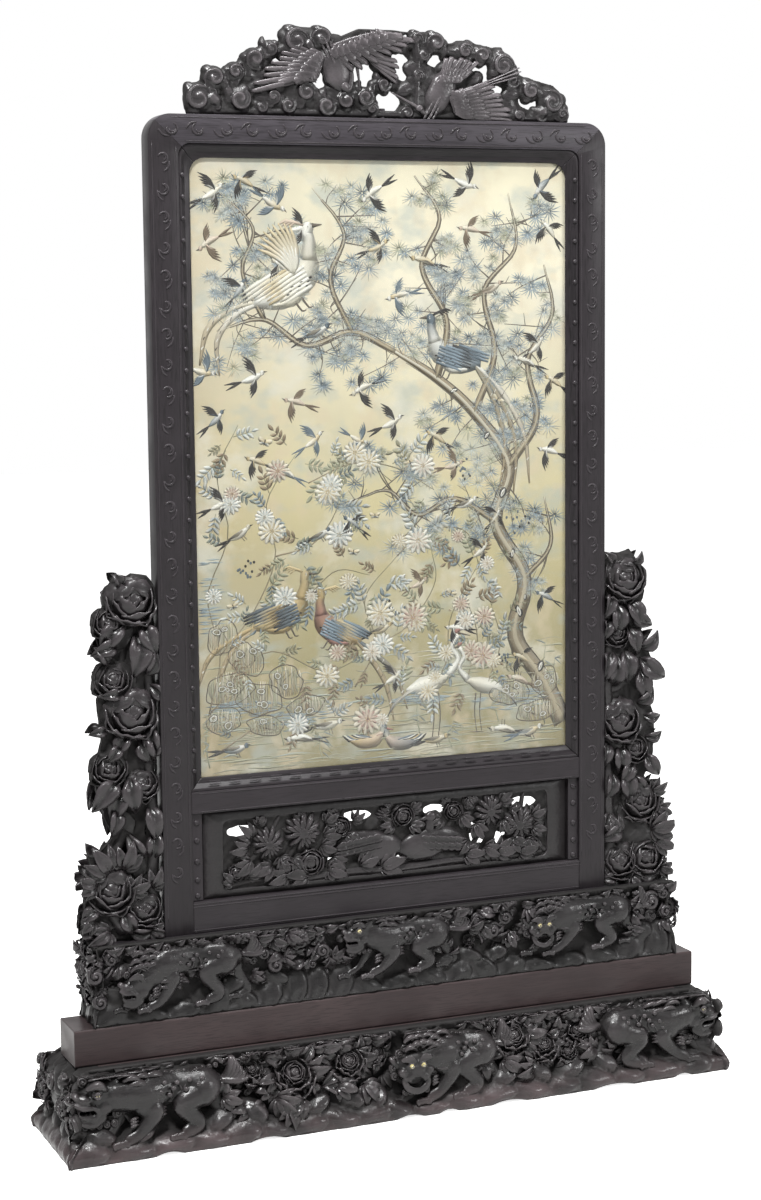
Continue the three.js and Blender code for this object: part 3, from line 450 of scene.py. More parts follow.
class Finish(Nodes):
    """A material"""

    def __init__(self, name):
        self.material = bpy.data.materials.new(name)
        self.material.use_nodes = True
        super().__init__(self.material.node_tree)
        self.shader = self.tree.nodes["Principled BSDF"]
        self.place = self.node("TexCoord").outputs["Object"]

    def stretched(self, scale, shift=(0, 0, 0)):
        return self.node("Mapping", {"Vector": self.place, "Scale": scale, "Location": shift}).outputs[0]

    def noise(self, scale, detail=3.0, rough=0.5, vector=None, distort=0.0):
        return self.node("TexNoise", {"Vector": vector or self.place, "Scale": scale, "Detail": detail,
                                      "Roughness": rough, "Distortion": distort}).outputs["Fac"]

    def ramp(self, fac, *stops):
        made = self.node("ValToRGB", {"Fac": fac})
        ramp = made.color_ramp
        while len(ramp.elements) < len(stops):
            ramp.elements.new(0.5)
        for element, (where, colour) in zip(ramp.elements, stops):
            element.position = where
            element.color = hexed(colour) if isinstance(colour, str) else (colour, colour, colour, 1)
        return made.outputs["Color"]

    def mix(self, fac, a, b, blend="MIX"):
        return self.node("Mix", {0: fac, 6: a, 7: b}, data_type="RGBA", blend_type=blend).outputs[2]

    def share(self, axis, low, high):
        """Where a place lies between two levels of an axis, from 0 to 1"""
        value = self.node("SeparateXYZ", {"Vector": self.place}).outputs[axis]
        return self.node("MapRange", {"Value": value, "From Min": low, "From Max": high}).outputs[0]

    def wave(self, axis, inputs):
        return self.node("TexWave", inputs, bands_direction=axis).outputs["Fac"]

    def bump(self, height, strength, distance, before=None):
        inputs = {"Height": height, "Strength": strength, "Distance": distance}
        if before is not None:
            inputs["Normal"] = before
        return self.node("Bump", inputs).outputs["Normal"]

    def give(self, **sockets):
        for key, value in sockets.items():
            self.feed(self.shader.inputs[key.replace("_", " ")], value)
        return self.material


# the colour of the concave hollows: dirt with painted shade
HOLLOW_DIRT_AND_SHADE = (0.004, 0.0032, 0.003, 1)
# painted shade for the deep parts of carvings
DEEP_SHADE = (0.0055, 0.0047, 0.0045, 1)
FOOT_WEAR_LEVEL = 0.045


def dark_wood(name, grain, dark, light, pale, shine, wear, recess=0.6, carved=False, foot=None):
    """Waxed dark hardwood: grain along one axis, pale worn edges, dull dust in the pores, dirt and painted
    shade in the hollows; carved, it also takes painted shade in its low parts and a paler tone on its
    raised parts, partly wear and partly painted highlight
    """
    f = Finish(name)
    figure = 0.6 if carved else 1.0
    long_scale = [4 if axis == grain else 60 for axis in "xyz"]
    streaks = f.noise(1.0, 6.0, 0.62, f.stretched(long_scale), 0.4)
    pores = f.noise(1.0, 2.0, 0.5, f.stretched([c * 9 for c in long_scale]))
    body = f.ramp(streaks, (0.30, dark), (0.52, light), (0.72, dark))
    body = f.mix(f.ramp(f.noise(7.0), (0.35, 0.0), (0.7, 0.08 if carved else 0.5)), body, hexed(pale))
    body = f.mix(f.ramp(pores, (0.36, 1.0), (0.5, 0.0)), body, hexed(dark))
    if foot:
        low = f.share("Z", FOOT_WEAR_LEVEL, 0.0)
        bare = f.math("MULTIPLY", low, f.ramp(f.noise(11.0, 4.0), (0.38, 0.1), (0.66, 0.85)))
        body = f.mix(bare, body, hexed(foot))
    edge = f.node("NewGeometry").outputs["Pointiness"]
    # concave hollows are darkened: dirt and painted shade
    sunk = f.ramp(edge, (0.40, recess), (0.49, 0.0))
    body = f.mix(f.ramp(edge, (0.505, 0.0), (0.60, wear)), body, hexed(pale))
    body = f.mix(sunk, body, HOLLOW_DIRT_AND_SHADE)
    gloss = f.ramp(f.noise(18.0, 4.0), (0.3, shine[0]), (0.7, shine[1]))
    gloss = f.mix(sunk, gloss, (0.85, 0.85, 0.85, 1))
    if carved:
        relief = f.node("Attribute", attribute_name="relief").outputs["Fac"]
        # the low parts of the carving are darkened: painted shade
        deep = f.ramp(relief, (0.05, 0.9), (0.25, 0.45), (0.45, 0.0))
        body = f.mix(deep, body, DEEP_SHADE)
        # the raised parts are paler: partly wear, partly painted highlight
        body = f.mix(f.ramp(relief, (0.52, 0.0), (0.76, 0.06), (1.0, 0.32)), body, hexed(pale))
        gloss = f.mix(deep, gloss, (0.8, 0.8, 0.8, 1))
    normal = f.bump(streaks, 0.25 * figure, 0.0006)
    normal = f.bump(pores, 0.3 * figure, 0.0003, normal)
    if carved:
        normal = f.bump(f.noise(60.0, 2.0), 0.45, 0.003, normal)
        normal = f.bump(f.noise(170.0, 2.0), 0.35, 0.001, normal)
    return f.give(Base_Color=body, Roughness=gloss, Normal=normal,
                  Specular_IOR_Level=0.30 if carved else 0.18)


def carved_wood(name, dark, light, pale, wear, foot=None):
    return dark_wood(name, "x", dark, light, pale, (0.20, 0.38), wear, carved=True, foot=foot)


def plain_wood(name, grain, dark, light, pale, shine=(0.30, 0.46), wear=0.6):
    return dark_wood(name, grain, dark, light, pale, shine, wear, 0.5)


# the pale colours here also give the painted highlight on raised parts
WOOD_CARVED = carved_wood("carved_dark_wood", "050404", "0c0b0b", "5a5457", 0.22)
WOOD_FOOT = carved_wood("carved_foot_wood", "050404", "0d0c0c", "5e585a", 0.22, "57494a")
# the crest is lighter than the other carving: painted light from above and painted highlight
WOOD_CREST_LIT = carved_wood("crest_wood_lit", "080707", "151314", "716b6e", 0.3)
WOOD_RAIL = plain_wood("rail_wood", "x", "110f10", "1a1719", "2f2b2e")
# the top rail is lighter than the other rails: painted light from above
WOOD_TOP_LIT = plain_wood("top_rail_wood_lit", "x", "222022", "302d31", "464247")
WOOD_STILE = plain_wood("stile_wood", "z", "110f10", "1a1719", "2f2b2e")
# the raised lines and beads are lighter than the frame: painted highlight
WOOD_LINE_LIT = plain_wood("ridge_wood_lit", "x", "151314", "211e20", "383437", (0.24, 0.4))
WOOD_WAIST = plain_wood("waist_wood", "x", "181415", "282122", "453a3a", wear=0.7)


def softwood():
    """Unpolished wood of the back and the hidden parts, its grain upright"""
    f = Finish("back_softwood")
    streaks = f.noise(1.0, 5.0, 0.6, f.stretched((30, 30, 2.5)), 0.6)
    fibres = f.noise(1.0, 2.0, 0.5, f.stretched((300, 300, 25)))
    body = f.ramp(streaks, (0.3, "6f5138"), (0.5, "8c6a4a"), (0.72, "5f452f"))
    body = f.mix(f.ramp(f.noise(3.0, 4.0), (0.35, 0.0), (0.75, 0.6)), body, hexed("4a382a"))
    return f.give(Base_Color=body, Roughness=f.ramp(fibres, (0.2, 0.62), (0.8, 0.85)),
                  Normal=f.bump(fibres, 0.4, 0.0005))


SILK_FOOT, SILK_TOP, SILK_HALF = 0.59, 1.62, 0.345


def silk_ground():
    """Cream silk gauze with a fine weave, greener towards the foot, brighter at the top and dimmer at the
    foot by painted light from above, tan at one side
    """
    f = Finish("cream_silk")
    height, across = f.share("Z", SILK_FOOT, SILK_TOP), f.share("X", -SILK_HALF, SILK_HALF)
    # brighter at the top, dimmer at the foot: painted light from above, with a greener tone at the foot
    tone = f.ramp(height, (0.0, "9e9470"), (0.14, "b0a67e"), (0.45, "e6daae"), (0.78, "fdf5df"),
                  (1.0, "fbf3d9"))
    tone = f.mix(f.ramp(across, (0.0, 0.5), (0.10, 0.2), (0.3, 0.0)), tone, hexed("c0a982"))
    tone = f.mix(f.ramp(f.noise(5.0, 4.0), (0.4, 0.0), (0.7, 0.5)), tone, hexed("cfc8b2"))
    for size, detail, rough, scale, shift, low, high, much, colour in (
        (11.0, 3.0, 0.55, (1, 0, 1.5), (0, 0, 0), 0.50, 0.64, 0.60, "c3cac4"),
        (14.0, 3.0, 0.5, (1.3, 0, 1), (3, 0, 2), 0.52, 0.66, 0.55, "e6d6ba"),
        (8.0, 4.0, 0.6, (1, 0, 1.2), (7, 0, 5), 0.52, 0.64, 0.6, "f1ecdd"),
    ):
        patches = f.noise(size, detail, rough, f.stretched(scale, shift))
        tone = f.mix(f.ramp(patches, (low, 0.0), (high, much)), tone, hexed(colour))
    warp, weft = (f.wave(axis, {"Vector": f.place, "Scale": size})
                  for axis, size in (("X", 330.0), ("Z", 420.0)))
    weave = f.math("MULTIPLY", warp, weft)
    tone = f.mix(f.math("MULTIPLY", weave, 0.10), tone, hexed("8f8768"))
    return f.give(Base_Color=tone, Roughness=f.ramp(f.noise(9.0, 2.0), (0.3, 0.5), (0.7, 0.62)),
                  Specular_IOR_Level=0.25, Sheen_Weight=0.12, Sheen_Roughness=0.4,
                  Normal=f.bump(weave, 0.3, 0.00015))


def silk_threads():
    """Satin stitch: floss in the colour that each stitch carries, laid in fine parallel ridges"""
    f = Finish("silk_floss")
    colour = f.node("Attribute", attribute_name="floss").outputs["Color"]
    uv = f.node("UVMap", uv_map="stitch").outputs["UV"]
    ridges = f.wave("X", {"Vector": uv, "Scale": 1.0, "Distortion": 1.2, "Detail": 2.0})
    # the darker bands between the thread ridges are painted shade
    shade = f.mix(f.math("MULTIPLY", ridges, 0.22), colour, (0.05, 0.045, 0.04, 1), "MULTIPLY")
    return f.give(Base_Color=shade, Roughness=0.42, Specular_IOR_Level=0.35, Sheen_Weight=0.15,
                  Sheen_Roughness=0.35, Normal=f.bump(ridges, 0.4, 0.0002))


def pane_glass():
    """A thin clear pane that shows only its reflections"""
    f = Finish("thin_pane")
    clear = f.node("BsdfTransparent", {"Color": (0.985, 0.99, 0.985, 1)}).outputs[0]
    sheen = f.node("BsdfGlossy", {"Roughness": 0.04}).outputs[0]
    rim = f.node("Fresnel", {"IOR": 1.45}).outputs[0]
    mixed = f.node("MixShader", {0: f.math("MULTIPLY", rim, 0.6), 1: clear, 2: sheen})
    f.feed(f.tree.nodes["Material Output"].inputs["Surface"], mixed.outputs[0])
    f.tree.nodes.remove(f.shader)
    return f.material


def eye_glass():
    f = Finish("amber_glass")
    tone = f.ramp(f.noise(260.0, 2.0), (0.3, "7d7046"), (0.7, "cdc38f"))
    return f.give(Base_Color=tone, Roughness=0.06, Specular_IOR_Level=0.8, Coat_Weight=1.0,
                  Coat_Roughness=0.03)


WOOD_BACK = softwood()
SILK = silk_ground()
FLOSS = silk_threads()
PANE = pane_glass()
EYE = eye_glass()
PUPIL = Finish("dark_pupil").give(Base_Color=hexed("0c0a08"), Roughness=0.08, Coat_Weight=1.0)


# Pieces

def piece(name, forms, body, material, replaced=(), height=None,
          most=MOST_TRIANGLES):
    """A finished piece. height tells the wood how far each point stands out of the ground, from 0 to 1; the
    carved wood paints shade into the low points and a highlight onto the high ones.
    """
    thing = to_object(name, joined(forms) if isinstance(forms, list) else forms)
    if height is not None:
        attribute = thing.data.attributes.new("relief", "FLOAT", "POINT")
        attribute.data.foreach_set("value", np.clip(height, 0, 1).astype(np.float32))
    count = sum(len(polygon.vertices) - 2 for polygon in thing.data.polygons)
    if count > most:
        apply_modifier(thing, "DECIMATE", ratio=most / count)
    thing.data.materials.append(material)
    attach(thing, body)
    if replaced:
        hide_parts(*replaced)
    return thing


def dressed(name, material, bevel=0.0):
    """A solid of the part that stays, with its finish and eased edges"""
    thing = nodes[name]
    thing.data.materials.clear()
    thing.data.materials.append(material)
    if bevel:
        thing.modifiers.new("merge", "WELD").merge_threshold = 0.00002
        ease = thing.modifiers.new("ease", "BEVEL")
        ease.width = bevel
        ease.segments = 2
        ease.limit_method = "ANGLE"
        ease.angle_limit = math.radians(35)
        ease.harden_normals = False


def redone(node, material, bevel, smooth=35):
    """A copy of a solid of the screen with its edges eased and curves smoothed"""
    thing = copy_of(node)
    thing.data.materials.clear()
    thing.data.materials.append(material)
    apply_modifier(thing, "BEVEL", width=bevel, segments=2, limit_method="ANGLE",
                   angle_limit=math.radians(30))
    bpy.ops.object.shade_smooth_by_angle(angle=math.radians(smooth))
    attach(thing, "screen")
    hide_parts(node)


def kept_in(form, low, high, knee=5.0):
    """Nothing stands out of the block that it was cut from: what comes near its faces flattens softly"""
    def rule(p):
        under = np.minimum(p - low - knee, 0) / knee
        over = np.minimum(high - knee - p, 0) / knee
        p = np.where(under < 0, low + knee * np.exp(under), p)
        return np.where(over < 0, high - knee * np.exp(over), p)

    return form.moved(rule)


def worn(node, voxel, rounds, thin, inset=0.0):
    """A pierced carving's solid, its arrises worn round and its faces let down, for the cutting over it"""
    thing = copy_of(node)
    apply_modifier(thing, "REMESH", mode="VOXEL", voxel_size=voxel * MM)
    if inset:
        apply_modifier(thing, "DISPLACE", strength=-inset * MM, mid_level=0.0)
    apply_modifier(thing, "SMOOTH", factor=0.5, iterations=rounds)
    form = from_object(thing)
    form.points /= MM

    def rule(p):
        return p * (1, thin, 1) + (0, 1, 0) * (0.9 * np.sin(p[:, :1] * 0.31) * np.sin(p[:, 2:] * 0.27))

    return form.moved(rule)


def relief_of(points, height, share, full=9.0):
    """How much each point of a carving stands out, from 0 to 1: partly its share of the full depth, partly
    its height in mm over the mean of what lies around it"""
    cell, reach = 2.5, 5
    spots = ((points - points.min(axis=0)) / cell).astype(int) + 3 * reach
    i, j = spots[:, 0], spots[:, 2]
    top = np.zeros((i.max() + 3 * reach + 1, j.max() + 3 * reach + 1))
    np.maximum.at(top, (i, j), height)
    filled = (top > 0).astype(float)
    weights = np.exp(-0.5 * (np.arange(-2 * reach, 2 * reach + 1) / reach) ** 2)
    for axis in "xz":
        top, filled = (np.apply_along_axis(np.convolve, 0, grid, weights, "same").T for grid in (top,
                                                                                                 filled))
    mean = (top / np.maximum(filled, 1e-6))[i, j]
    return np.clip(0.17 + 0.42 * share + 0.40 * np.clip((height - mean) / full, -1, 1), 0, 1)


# The carved boards of the foot and the plinth

class Board:
    """A carved board seen from its front: inner face at depth inner, leaning outwards by a profile of
    (share of the reach, share of the height). Rocks are rounded lobes of its ground: each is at, level,
    half width, half height and lean. sink is how far the ground lies behind the face."""

    def __init__(self, inner, reach, bottom, height, profile, end_half, rocks, sink):
        self.inner, self.reach, self.bottom, self.height = inner, reach, bottom, height
        self.profile, self.end_half, self.rocks, self.sink = np.array(profile), end_half, rocks, sink

    def up(self, z):
        return np.clip((z - self.bottom) / self.height, 0, 1)

    def out(self, up):
        return self.reach * np.interp(up, self.profile[:, 1], self.profile[:, 0])

    def point(self, x, z, lift=0.0):
        """A place in front of the sunk ground"""
        return np.array([x, -(self.inner + float(self.out(float(self.up(z)))) - self.sink) - lift, z])

    def lean(self, z):
        up = np.clip((z - self.bottom) / self.height, 0.05, 0.95)
        return -math.atan2(float(self.out(up - 0.05) - self.out(up + 0.05)), 0.1 * self.height)

    def surface(self, x, up):
        """How far the carved ground stands out"""
        z = up * self.height
        full = self.out(up)
        sink = self.sink * (1 - 0.7 * np.clip((up - 0.8) / 0.2, 0, 1))
        out = full - sink + 1.8 * np.sin(x * 0.17 + z * 0.06) * np.sin(z * 0.11 + x * 0.03)
        for at, level, wide, high, slant in self.rocks:
            if level < 20 and self.bottom == 0:
                wide, high = wide * 1.3, high * 0.85
            q = (x - at - slant * (z - level)) / wide
            w = (z - level) / high
            dome = np.sqrt(np.clip(1 - q**2 - w**2, 0, 1))
            flow = np.cos(7.5 * (q * np.cos(slant) + 0.9 * w**2) + level) * dome * (0.045 * sink + 0.5)
            rise = (sink + 1.0) * dome ** 0.8 * (0.80 + 0.40 * q) + flow
            out = np.maximum(out, np.where(dome > 0, full - sink + rise, -99))
        lip = np.clip(1 - (z / (0.12 * self.height)) ** 2, 0, 1) ** 0.5
        return np.maximum(np.minimum(out, full), (full - 4.0) * lip - 99 * (lip <= 0))

    def ground(self, end_profile, columns, lift=None):
        """The board itself, closed and mitred at its ends, where it meets a board with end_profile"""
        loop = [(v, 1.0) for v in np.linspace(0, 1, 38)] + [(1.0, 0.75), (1.0, 0.375), (1.0, 0.0)]
        loop += [(v, 0.0) for v in np.linspace(0.85, 0.0, 5)] + [(0.0, 0.35), (0.0, 0.7), (0.0, 1.0)]
        loop, ends = np.array(loop), np.array(end_profile)
        last = len(loop) - 1

        def rule(u, v):
            up, depth = loop[np.rint(v * last).astype(int)].T
            closed = (u < 1e-6) | (u > 1 - 1e-6)
            share = np.clip((u - 1 / columns) / (1 - 2 / columns), 0, 1) * 2 - 1
            x = share * (self.end_half + self.reach * np.interp(up, ends[:, 1], ends[:, 0]) * depth)
            out = self.surface(x, up)
            corner = np.clip((np.abs(x) - (self.end_half - 4)) / 20, 0, 1)
            out = out * (1 - corner) + np.minimum(out, self.out(up) - 1.0) * corner
            z = self.bottom + up * self.height
            if lift is not None:
                z = z + lift(x) * np.clip(1 - up * 9, 0, 1)
            x = np.where(closed, np.sign(share) * (self.end_half + 6), x)
            y = np.where(closed, -(self.inner + 6), -(self.inner + out * depth))
            return np.stack([x, y, np.where(closed, self.bottom + 0.4 * self.height, z)], 1)

        return woven(columns, last, rule)


def scallops(x):
    """The low edge of the foot rises between its rocks"""
    rise = np.zeros_like(x)
    for at, wide in ((-12, 26), (61, 18), (175, 34), (380, 40), (-270, 30), (-440, 24), (520, 18)):
        rise = np.maximum(rise, 5.5 * np.clip(1 - ((x - at) / wide) ** 2, 0, 1))
    return rise


def heap(low, high, step, level, wide, tall):
    """Rocks in two rows along a side that no figure stands on"""
    rocks = []
    for k, x in enumerate(np.arange(low, high, step)):
        rocks.append((x, level, wide + 4 * math.sin(k * 1.7), tall + 3 * math.sin(k * 2.3),
                      0.4 * math.sin(k * 1.9)))
        rocks.append((x + step / 2, level + tall, wide * 0.6, tall * 0.7, -0.5 * math.sin(k * 1.3)))
    return rocks


BASE_PROFILE = ((0.94, 0), (1, 0.05), (1.0, 0.13), (0.90, 0.26), (0.74, 0.42), (0.60, 0.62), (0.54, 0.8),
                (0.36, 1))
BASE_END_PROFILE = ((0.97, 0), (1, 0.1), (0.76, 0.38), (0.88, 0.66), (0.8, 0.9), (0.5, 1))
PLINTH_PROFILE = ((1, 0), (0.8, 0.4), (0.78, 0.85), (0.86, 1))
BASE_ROCKS = [
    (-592, 14, 46, 34, 0.2), (-520, 10, 52, 30, -0.3), (-446, 12, 44, 26, 0.5), (-384, 10, 46, 28, -0.4),
    (-322, 14, 38, 34, 0.3), (-268, 10, 40, 30, -0.2), (-212, 12, 44, 28, 0.4), (-150, 10, 46, 32, -0.3),
    (-92, 12, 40, 30, 0.4), (-42, 10, 34, 34, -0.3), (14, 6, 42, 24, 0.2), (76, 10, 48, 32, -0.2),
    (140, 12, 44, 30, 0.5), (206, 10, 46, 34, -0.4), (270, 10, 42, 28, 0.3), (332, 12, 44, 34, -0.3),
    (396, 10, 44, 26, 0.4), (462, 12, 50, 30, -0.3), (530, 14, 46, 36, 0.3), (592, 14, 40, 40, 0.1),
    (-560, 44, 34, 20, -0.6), (-352, 44, 30, 22, 0.5), (-288, 46, 26, 22, -0.4), (-180, 44, 28, 20, 0.6),
    (-118, 46, 30, 22, -0.5), (-70, 40, 22, 20, 0.4), (104, 42, 28, 22, -0.6), (172, 46, 28, 20, 0.5),
    (236, 44, 26, 22, -0.5), (300, 44, 30, 22, 0.4), (366, 44, 26, 22, -0.5), (506, 44, 30, 20, 0.5),
    (566, 52, 30, 24, -0.4), (-486, 40, 28, 18, 0.5), (430, 40, 26, 18, -0.5),
]
PLINTH_ROCKS = [
    (-520, 12, 40, 30, 0.4), (-452, 8, 44, 18, -0.3), (-390, 8, 40, 18, 0.4), (-336, 18, 34, 34, 0.1),
    (-284, 12, 30, 24, -0.3), (-238, 14, 28, 28, 0.3), (-190, 20, 26, 38, 0.2), (-152, 20, 26, 38, 0.2),
    (-108, 20, 28, 40, 0.25), (-62, 10, 34, 22, -0.4), (0, 8, 40, 18, 0.3), (58, 10, 36, 24, -0.3),
    (110, 12, 32, 24, 0.3), (160, 14, 32, 28, -0.3), (212, 12, 34, 22, 0.4), (266, 8, 40, 18, -0.3),
    (330, 8, 38, 20, 0.3), (390, 10, 40, 22, -0.4), (450, 16, 36, 30, 0.3), (506, 20, 30, 44, 0.1),
    (540, 16, 26, 36, -0.2), (-300, 42, 26, 18, 0.5), (-222, 44, 24, 16, -0.4), (84, 38, 24, 16, 0.5),
    (138, 40, 24, 16, -0.5), (190, 40, 22, 16, 0.4), (474, 44, 26, 20, 0.4), (-500, 46, 26, 18, -0.5),
]
# inner face, reach, bottom and height of the tiers' long boards, and of those at their ends
BASE_LONG, BASE_SHORT = (48, 74, 0, 143.2), (539, 74, 0, 143.2)
PLINTH_LONG, PLINTH_SHORT = (22, 24, 205.7, 131.7), (521, 24, 205.7, 131.7)
BASE_FRONT = Board(*BASE_LONG, BASE_PROFILE, 539, BASE_ROCKS, 30)
BASE_BACK = Board(*BASE_LONG, BASE_PROFILE, 539, heap(-590, 600, 62, 11, 44, 30), 28)
BASE_END = Board(*BASE_SHORT, BASE_END_PROFILE, 48, heap(-110, 130, 52, 12, 38, 32)
                 + heap(-92, 120, 58, 74, 34, 30) + heap(-118, 120, 50, 116, 30, 24), 24)
PLINTH_FRONT = Board(*PLINTH_LONG, PLINTH_PROFILE, 521, PLINTH_ROCKS, 18)
PLINTH_BACK = Board(*PLINTH_LONG, PLINTH_PROFILE, 521, heap(-530, 540, 54, 12, 38, 26), 17)
PLINTH_END = Board(*PLINTH_SHORT, PLINTH_PROFILE, 22, heap(-40, 50, 34, 14, 24, 28), 15)


# Guardian lions

def face(mid, s, d, front):
    """A lion's head about its middle: skull, brows, snub nose, wide jaws with lips and fangs. Places and
    radii are in head sizes, x towards the side g."""
    def mass(at, radii, g=d, turn=(0, 0, 0)):
        x, y, z = at
        return ball(mid + np.array([g * x, y, z]) * s, tuple(s * r for r in radii), turn)

    def strip(points, radii, g=d, **grid):
        return tube([mid + np.array([g * x, y, z]) * s for x, y, z in points], [s * r for r in radii],
                    **grid)

    if front:
        forms = [mass((0, 0, 0), (0.86, 0.60, 0.74)), mass((0, -0.38, -0.14), (0.46, 0.38, 0.24)),
                 mass((0, -0.72, 0.02), (0.26, 0.16, 0.15)),
                 strip([(-0.56, -0.26, -0.30), (-0.44, -0.50, -0.74), (0, -0.60, -0.92),
                        (0.44, -0.50, -0.74),
                        (0.56, -0.26, -0.30)], [0.17, 0.15, 0.15, 0.15, 0.17], 1, sides=10, steps=20)]
        for g in (-1, 1):
            forms += [mass((0.16, -0.74, -0.02), (0.11, 0.1, 0.1), g),
                      strip([(0.08, -0.62, 0.30), (0.36, -0.70, 0.52), (0.74, -0.44, 0.44)],
                            [0.09, 0.18, 0.07], g, sides=10),
                      mass((0.90, 0.0, 0.30), (0.15, 0.2, 0.30), g, (0, g * 0.6, 0)),
                      mass((0.58, -0.36, -0.10), (0.26, 0.26, 0.22), g),
                      strip([(0.06, -0.74, -0.18), (0.34, -0.70, -0.32), (0.60, -0.44, -0.34)],
                            [0.07, 0.12, 0.08], g),
                      strip([(0.34, -0.62, -0.36), (0.35, -0.64, -0.56)], [0.08, 0.03], g, sides=6)]
        return forms
    forms = [mass((-0.05, 0, 0.08), (0.78, 0.62, 0.66)), mass((0.60, -0.20, 0.04), (0.40, 0.48, 0.26)),
             mass((0.92, -0.30, 0.20), (0.17, 0.26, 0.15)), mass((0.94, -0.50, 0.16), (0.10, 0.1, 0.09)),
             mass((-0.10, -0.42, -0.28), (0.34, 0.26, 0.30)),
             strip([(-0.16, -0.30, -0.50), (0.30, -0.38, -0.84), (0.86, -0.30, -0.74)], [0.24, 0.18, 0.14],
                   sides=10),
             strip([(0.12, -0.44, -0.52), (0.52, -0.46, -0.58), (0.92, -0.42, -0.46)], [0.10, 0.13, 0.05]),
             strip([(-0.20, -0.58, 0.30), (0.16, -0.72, 0.58), (0.60, -0.56, 0.40)], [0.08, 0.19, 0.07],
                   sides=10),
             strip([(1.04, -0.48, -0.02), (0.72, -0.62, -0.20), (0.30, -0.62, -0.24), (0.14, -0.56, -0.48),
                    (0.36, -0.52, -0.70)], [0.07, 0.11, 0.09, 0.09, 0.06], steps=24),
             mass((-0.42, -0.40, 0.50), (0.17, 0.16, 0.32), turn=(0, -d * 0.8, 0))]
    for x, z, size in ((0.86, -0.26, 0.10), (0.60, -0.30, 0.06), (0.44, -0.30, 0.06)):
        forms.append(strip([(x, -0.50, z + 0.06), (x - 0.02, -0.52, z - 2.2 * size)], [size, 0.02],
                           sides=6, steps=5))
    for x, z, size in ((0.78, -0.60, 0.08), (0.58, -0.64, 0.05)):
        forms.append(strip([(x, -0.46, z - 0.06), (x, -0.48, z + 2.0 * size)], [size, 0.02], sides=6,
                           steps=5))
    return forms


class Lay:
    """Figures are shaped over a flat ground, where -y is their height, and then laid on a board: its full
    depth is shared out so that nothing has to be cut off"""

    def __init__(self, board, limit, full):
        self.board, self.limit, self.full = board, limit, full

    def floor(self, z):
        return self.board.inner + self.board.out(self.board.up(z)) - self.board.sink

    def down(self, form):
        def rule(p):
            t = -p[:, 1] / self.full
            t = np.where(t < 0.86, t, 0.86 + 0.14 * np.tanh((t - 0.86) / 0.14))
            floor = self.floor(p[:, 2])
            return np.stack([p[:, 0], -(floor + (self.limit - floor) * t), p[:, 2]], 1)

        return form.moved(rule)

    def up(self, point):
        floor = float(self.floor(point[2]))
        t = (-point[1] - floor) / (self.limit - floor)
        t = t if t < 0.86 else 0.86 + 0.14 * math.atanh(min(0.9, (t - 0.86) / 0.14))
        return np.array([point[0], -t * self.full, point[2]])


